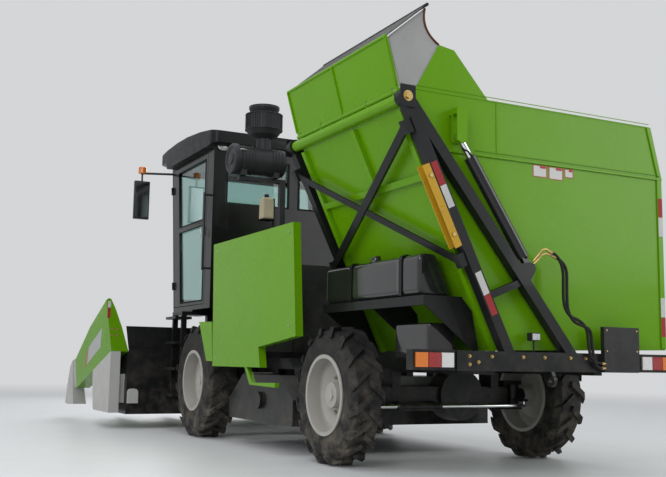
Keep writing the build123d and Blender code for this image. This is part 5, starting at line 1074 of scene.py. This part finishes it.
# Oil hoses for the tipping cylinder: two black rubber hoses side by side, from elbows near the
# cylinder's foot down to unions on the valve box, and a steel pipe along its barrel.
hose_radius, hose_apart, union_radius, slack = 0.0115, 0.034, 0.0135, 0.985
hose_rubber = sprayed("hose_rubber", (0.012, 0.012, 0.012), 0.55, drift=0.2, dust=0.1)
union_ends, elbows = bmesh.new(), bmesh.new()
for index in range(2):
    shift = index * hose_apart
    route = (
        (-4.205, 0.010 - shift, 1.640 - shift), (-4.215, -0.035 - shift, 1.620 - shift),
        (-4.228, -0.075 - shift, 1.520), (-4.228, -0.070 - shift, 1.380),
        (-4.226, -0.075 - shift, 1.250 - shift), (-4.224, -0.130 - shift, 1.175 - shift),
        (-4.222, -0.230, 1.150 - shift), (-4.220, -0.300 - shift, 1.090), (-4.218, -0.310 - shift, 0.980),
        (-4.216, -0.330 - shift, 0.880 - shift / 2), (-4.214, -0.395, 0.835 - shift),
        (-4.214, -0.446, 0.835 - shift),
    )
    curve = bpy.data.curves.new("tip_hose_%d" % index, "CURVE")
    curve.dimensions = "3D"
    line = curve.splines.new("NURBS")
    line.points.add(len(route) - 1)
    for point, spot in zip(line.points, route):
        point.co = spot + (1.0,)
    line.order_u = 3
    line.use_endpoint_u = True
    line.resolution_u = 8
    curve.bevel_depth = hose_radius
    curve.bevel_resolution = 3
    curve.use_fill_caps = True
    curve.materials.append(hose_rubber)
    hose = put_in("tip_hose_%d" % index, curve)
    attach(hose, "chassis")
    add_pipe(union_ends, [(-4.214, y, 0.835 - shift) for y in (-0.440, -0.455, -0.474)], union_radius, 6)
    add_pipe(union_ends, [
        (-4.190, 0.030 - shift, 1.652 - shift), (-4.200, 0.018 - shift, 1.646 - shift),
        (-4.207, 0.006 - shift, 1.636 - shift),
    ], union_radius, 6)
    add_pipe(elbows, [
        (-4.165, 0.150, 1.575 - 0.7 * shift), (-4.186, 0.120, 1.620 - shift),
        (-4.190, 0.095, 1.655 - shift), (-4.190, 0.060, 1.666 - shift), (-4.190, 0.028 - shift, 1.653 - shift),
    ], 0.0085, 10)
solid_piece("hose_unions", union_ends, passivated, "chassis", 0.001)
solid_piece("hose_elbows", elbows, passivated, "chassis")
feed_pipe = bmesh.new()
add_pipe(feed_pipe, [
    (-4.160, 0.775, 2.335), (-4.175, 0.735, 2.325), (-4.176, 0.700, 2.290), (-4.176, 0.245, 1.625),
    (-4.170, 0.215, 1.590),
], 0.007, 10)
solid_piece("cylinder_pipe", feed_pipe, cab_gloss, "tip_barrels")

# Work lamp on the tail beam: a small moulded case on a short stalk, with a clear glass that
# faces back.
lamp_case = bmesh.new()
add_block(lamp_case, (-4.178, 0.105, 0.990), (-4.120, 0.185, 1.050))
add_block(lamp_case, (-4.155, 0.138, 0.908), (-4.143, 0.152, 0.992))
solid_piece("work_lamp", lamp_case, shell_black, "chassis", 0.008, 3)
lamp_pane = bmesh.new()
add_block(lamp_pane, (-4.1815, 0.112, 0.997), (-4.1775, 0.178, 1.043))
solid_piece("work_lamp_glass", lamp_pane, clear_lens, "chassis", 0.001)

# Header dividers: tall hoods of green sheet, bolted behind pale moulded snouts; the drives'
# covers are of the same plastic. The outer hoods' rear edges carry reflecting tape and bolts.
snout_grey = sprayed("snout_grey", (0.40, 0.40, 0.385), 0.40, drift=0.08, peel=0.6, dust=0.35, dust_top=1.1)
dress(snout_grey, "divider_snouts", "drive_covers")
hood_back = 4.370 + rear_axle_x
strip_white, strip_red = bmesh.new(), bmesh.new()
hood_bolts = []
for side in (-1, 1):
    y0, y1 = sorted((side * 1.793, side * 1.829))
    for mesh, z0, z1 in ((strip_white, 1.425, 1.500), (strip_red, 1.300, 1.420)):
        add_block(mesh, (hood_back - 0.0014, y0, z0), (hood_back + 0.0006, y1, z1))
    hood_bolts += [(hood_back - 0.004, side * y, z) for y in (1.700, 1.765) for z in (1.10, 1.17)]
solid_piece("hood_tape_white", strip_white, tape_white, "header")
solid_piece("hood_tape_red", strip_red, tape_red, "header")
bolt_heads = heads("hood_bolts", 0.020, 0.010, (-1.0, 0.0, 0.0), passivated, "header", hood_bolts)

# Flash on the outer hoods: a blank slanting band of silver film with an orange edge, pressed
# onto each flank where the maker's lettering would be.
# outer flank of a hood: X, foot's Y and Z, crown's Y and Z
flank = (
    (1.645, 1.762, 0.908, 1.850, 1.512), (2.475, 1.764, 0.681, 1.835, 1.2176),
    (3.415, 1.766, 0.424, 1.800, 0.7965),
)
flash_low, flash_high, flash_lean = 0.30, 0.62, -0.16
flash_proud, flash_thickness, flash_across, flash_up = 0.0012, 0.0016, 16, 4


def on_flank(x, share):
    """A place just proud of the outer hood's flank, by X and its share of the way up."""
    for rear, front in zip(flank, flank[1:]):
        if x <= front[0] or front is flank[-1]:
            part = (x - rear[0]) / (front[0] - rear[0])
            foot_y, foot_z, crown_y, crown_z = [a + part * (b - a) for a, b in zip(rear[1:], front[1:])]
            proud_y = foot_y + share * (crown_y - foot_y) + flash_proud
            return Vector((x, proud_y, foot_z + share * (crown_z - foot_z)))


def flash_mesh(x0, x1):
    """A slanting band that lies on both outer flanks."""
    mesh = bmesh.new()
    for side in (-1, 1):
        layers = []
        for depth in (0.0, flash_thickness):
            layer = []
            for across in range(flash_across + 1):
                x = x0 + (x1 - x0) * across / flash_across
                line = []
                for up in range(flash_up + 1):
                    share = up / flash_up
                    way_up = flash_low + (flash_high - flash_low) * share
                    line.append(on_flank(x + flash_lean * share, way_up))
                layer.append([mesh.verts.new((p.x, side * (p.y - depth), p.z)) for p in line])
            layers.append(layer)
        near, far = layers
        near_rows, far_rows = list(zip(*near)), list(zip(*far))
        add_skin(mesh, near_rows)
        add_skin(mesh, far_rows[::-1])
        add_skin(mesh, [near_rows[0][::-1], far_rows[0][::-1]])
        add_skin(mesh, [near_rows[-1], far_rows[-1]])
        add_skin(mesh, [near[0], far[0]])
        add_skin(mesh, [near[-1][::-1], far[-1][::-1]])
    return mesh


flash_silver = sprayed("flash_silver", (0.36, 0.37, 0.37), 0.32, drift=0.1, dust=0.05)
flash_orange = sprayed("flash_orange", (0.42, 0.11, 0.02), 0.34, drift=0.1, dust=0.05)
solid_piece("hood_flash", flash_mesh(2.10, 2.80), flash_silver, "header")
solid_piece("hood_flash_edge", flash_mesh(2.83, 2.90), flash_orange, "header")
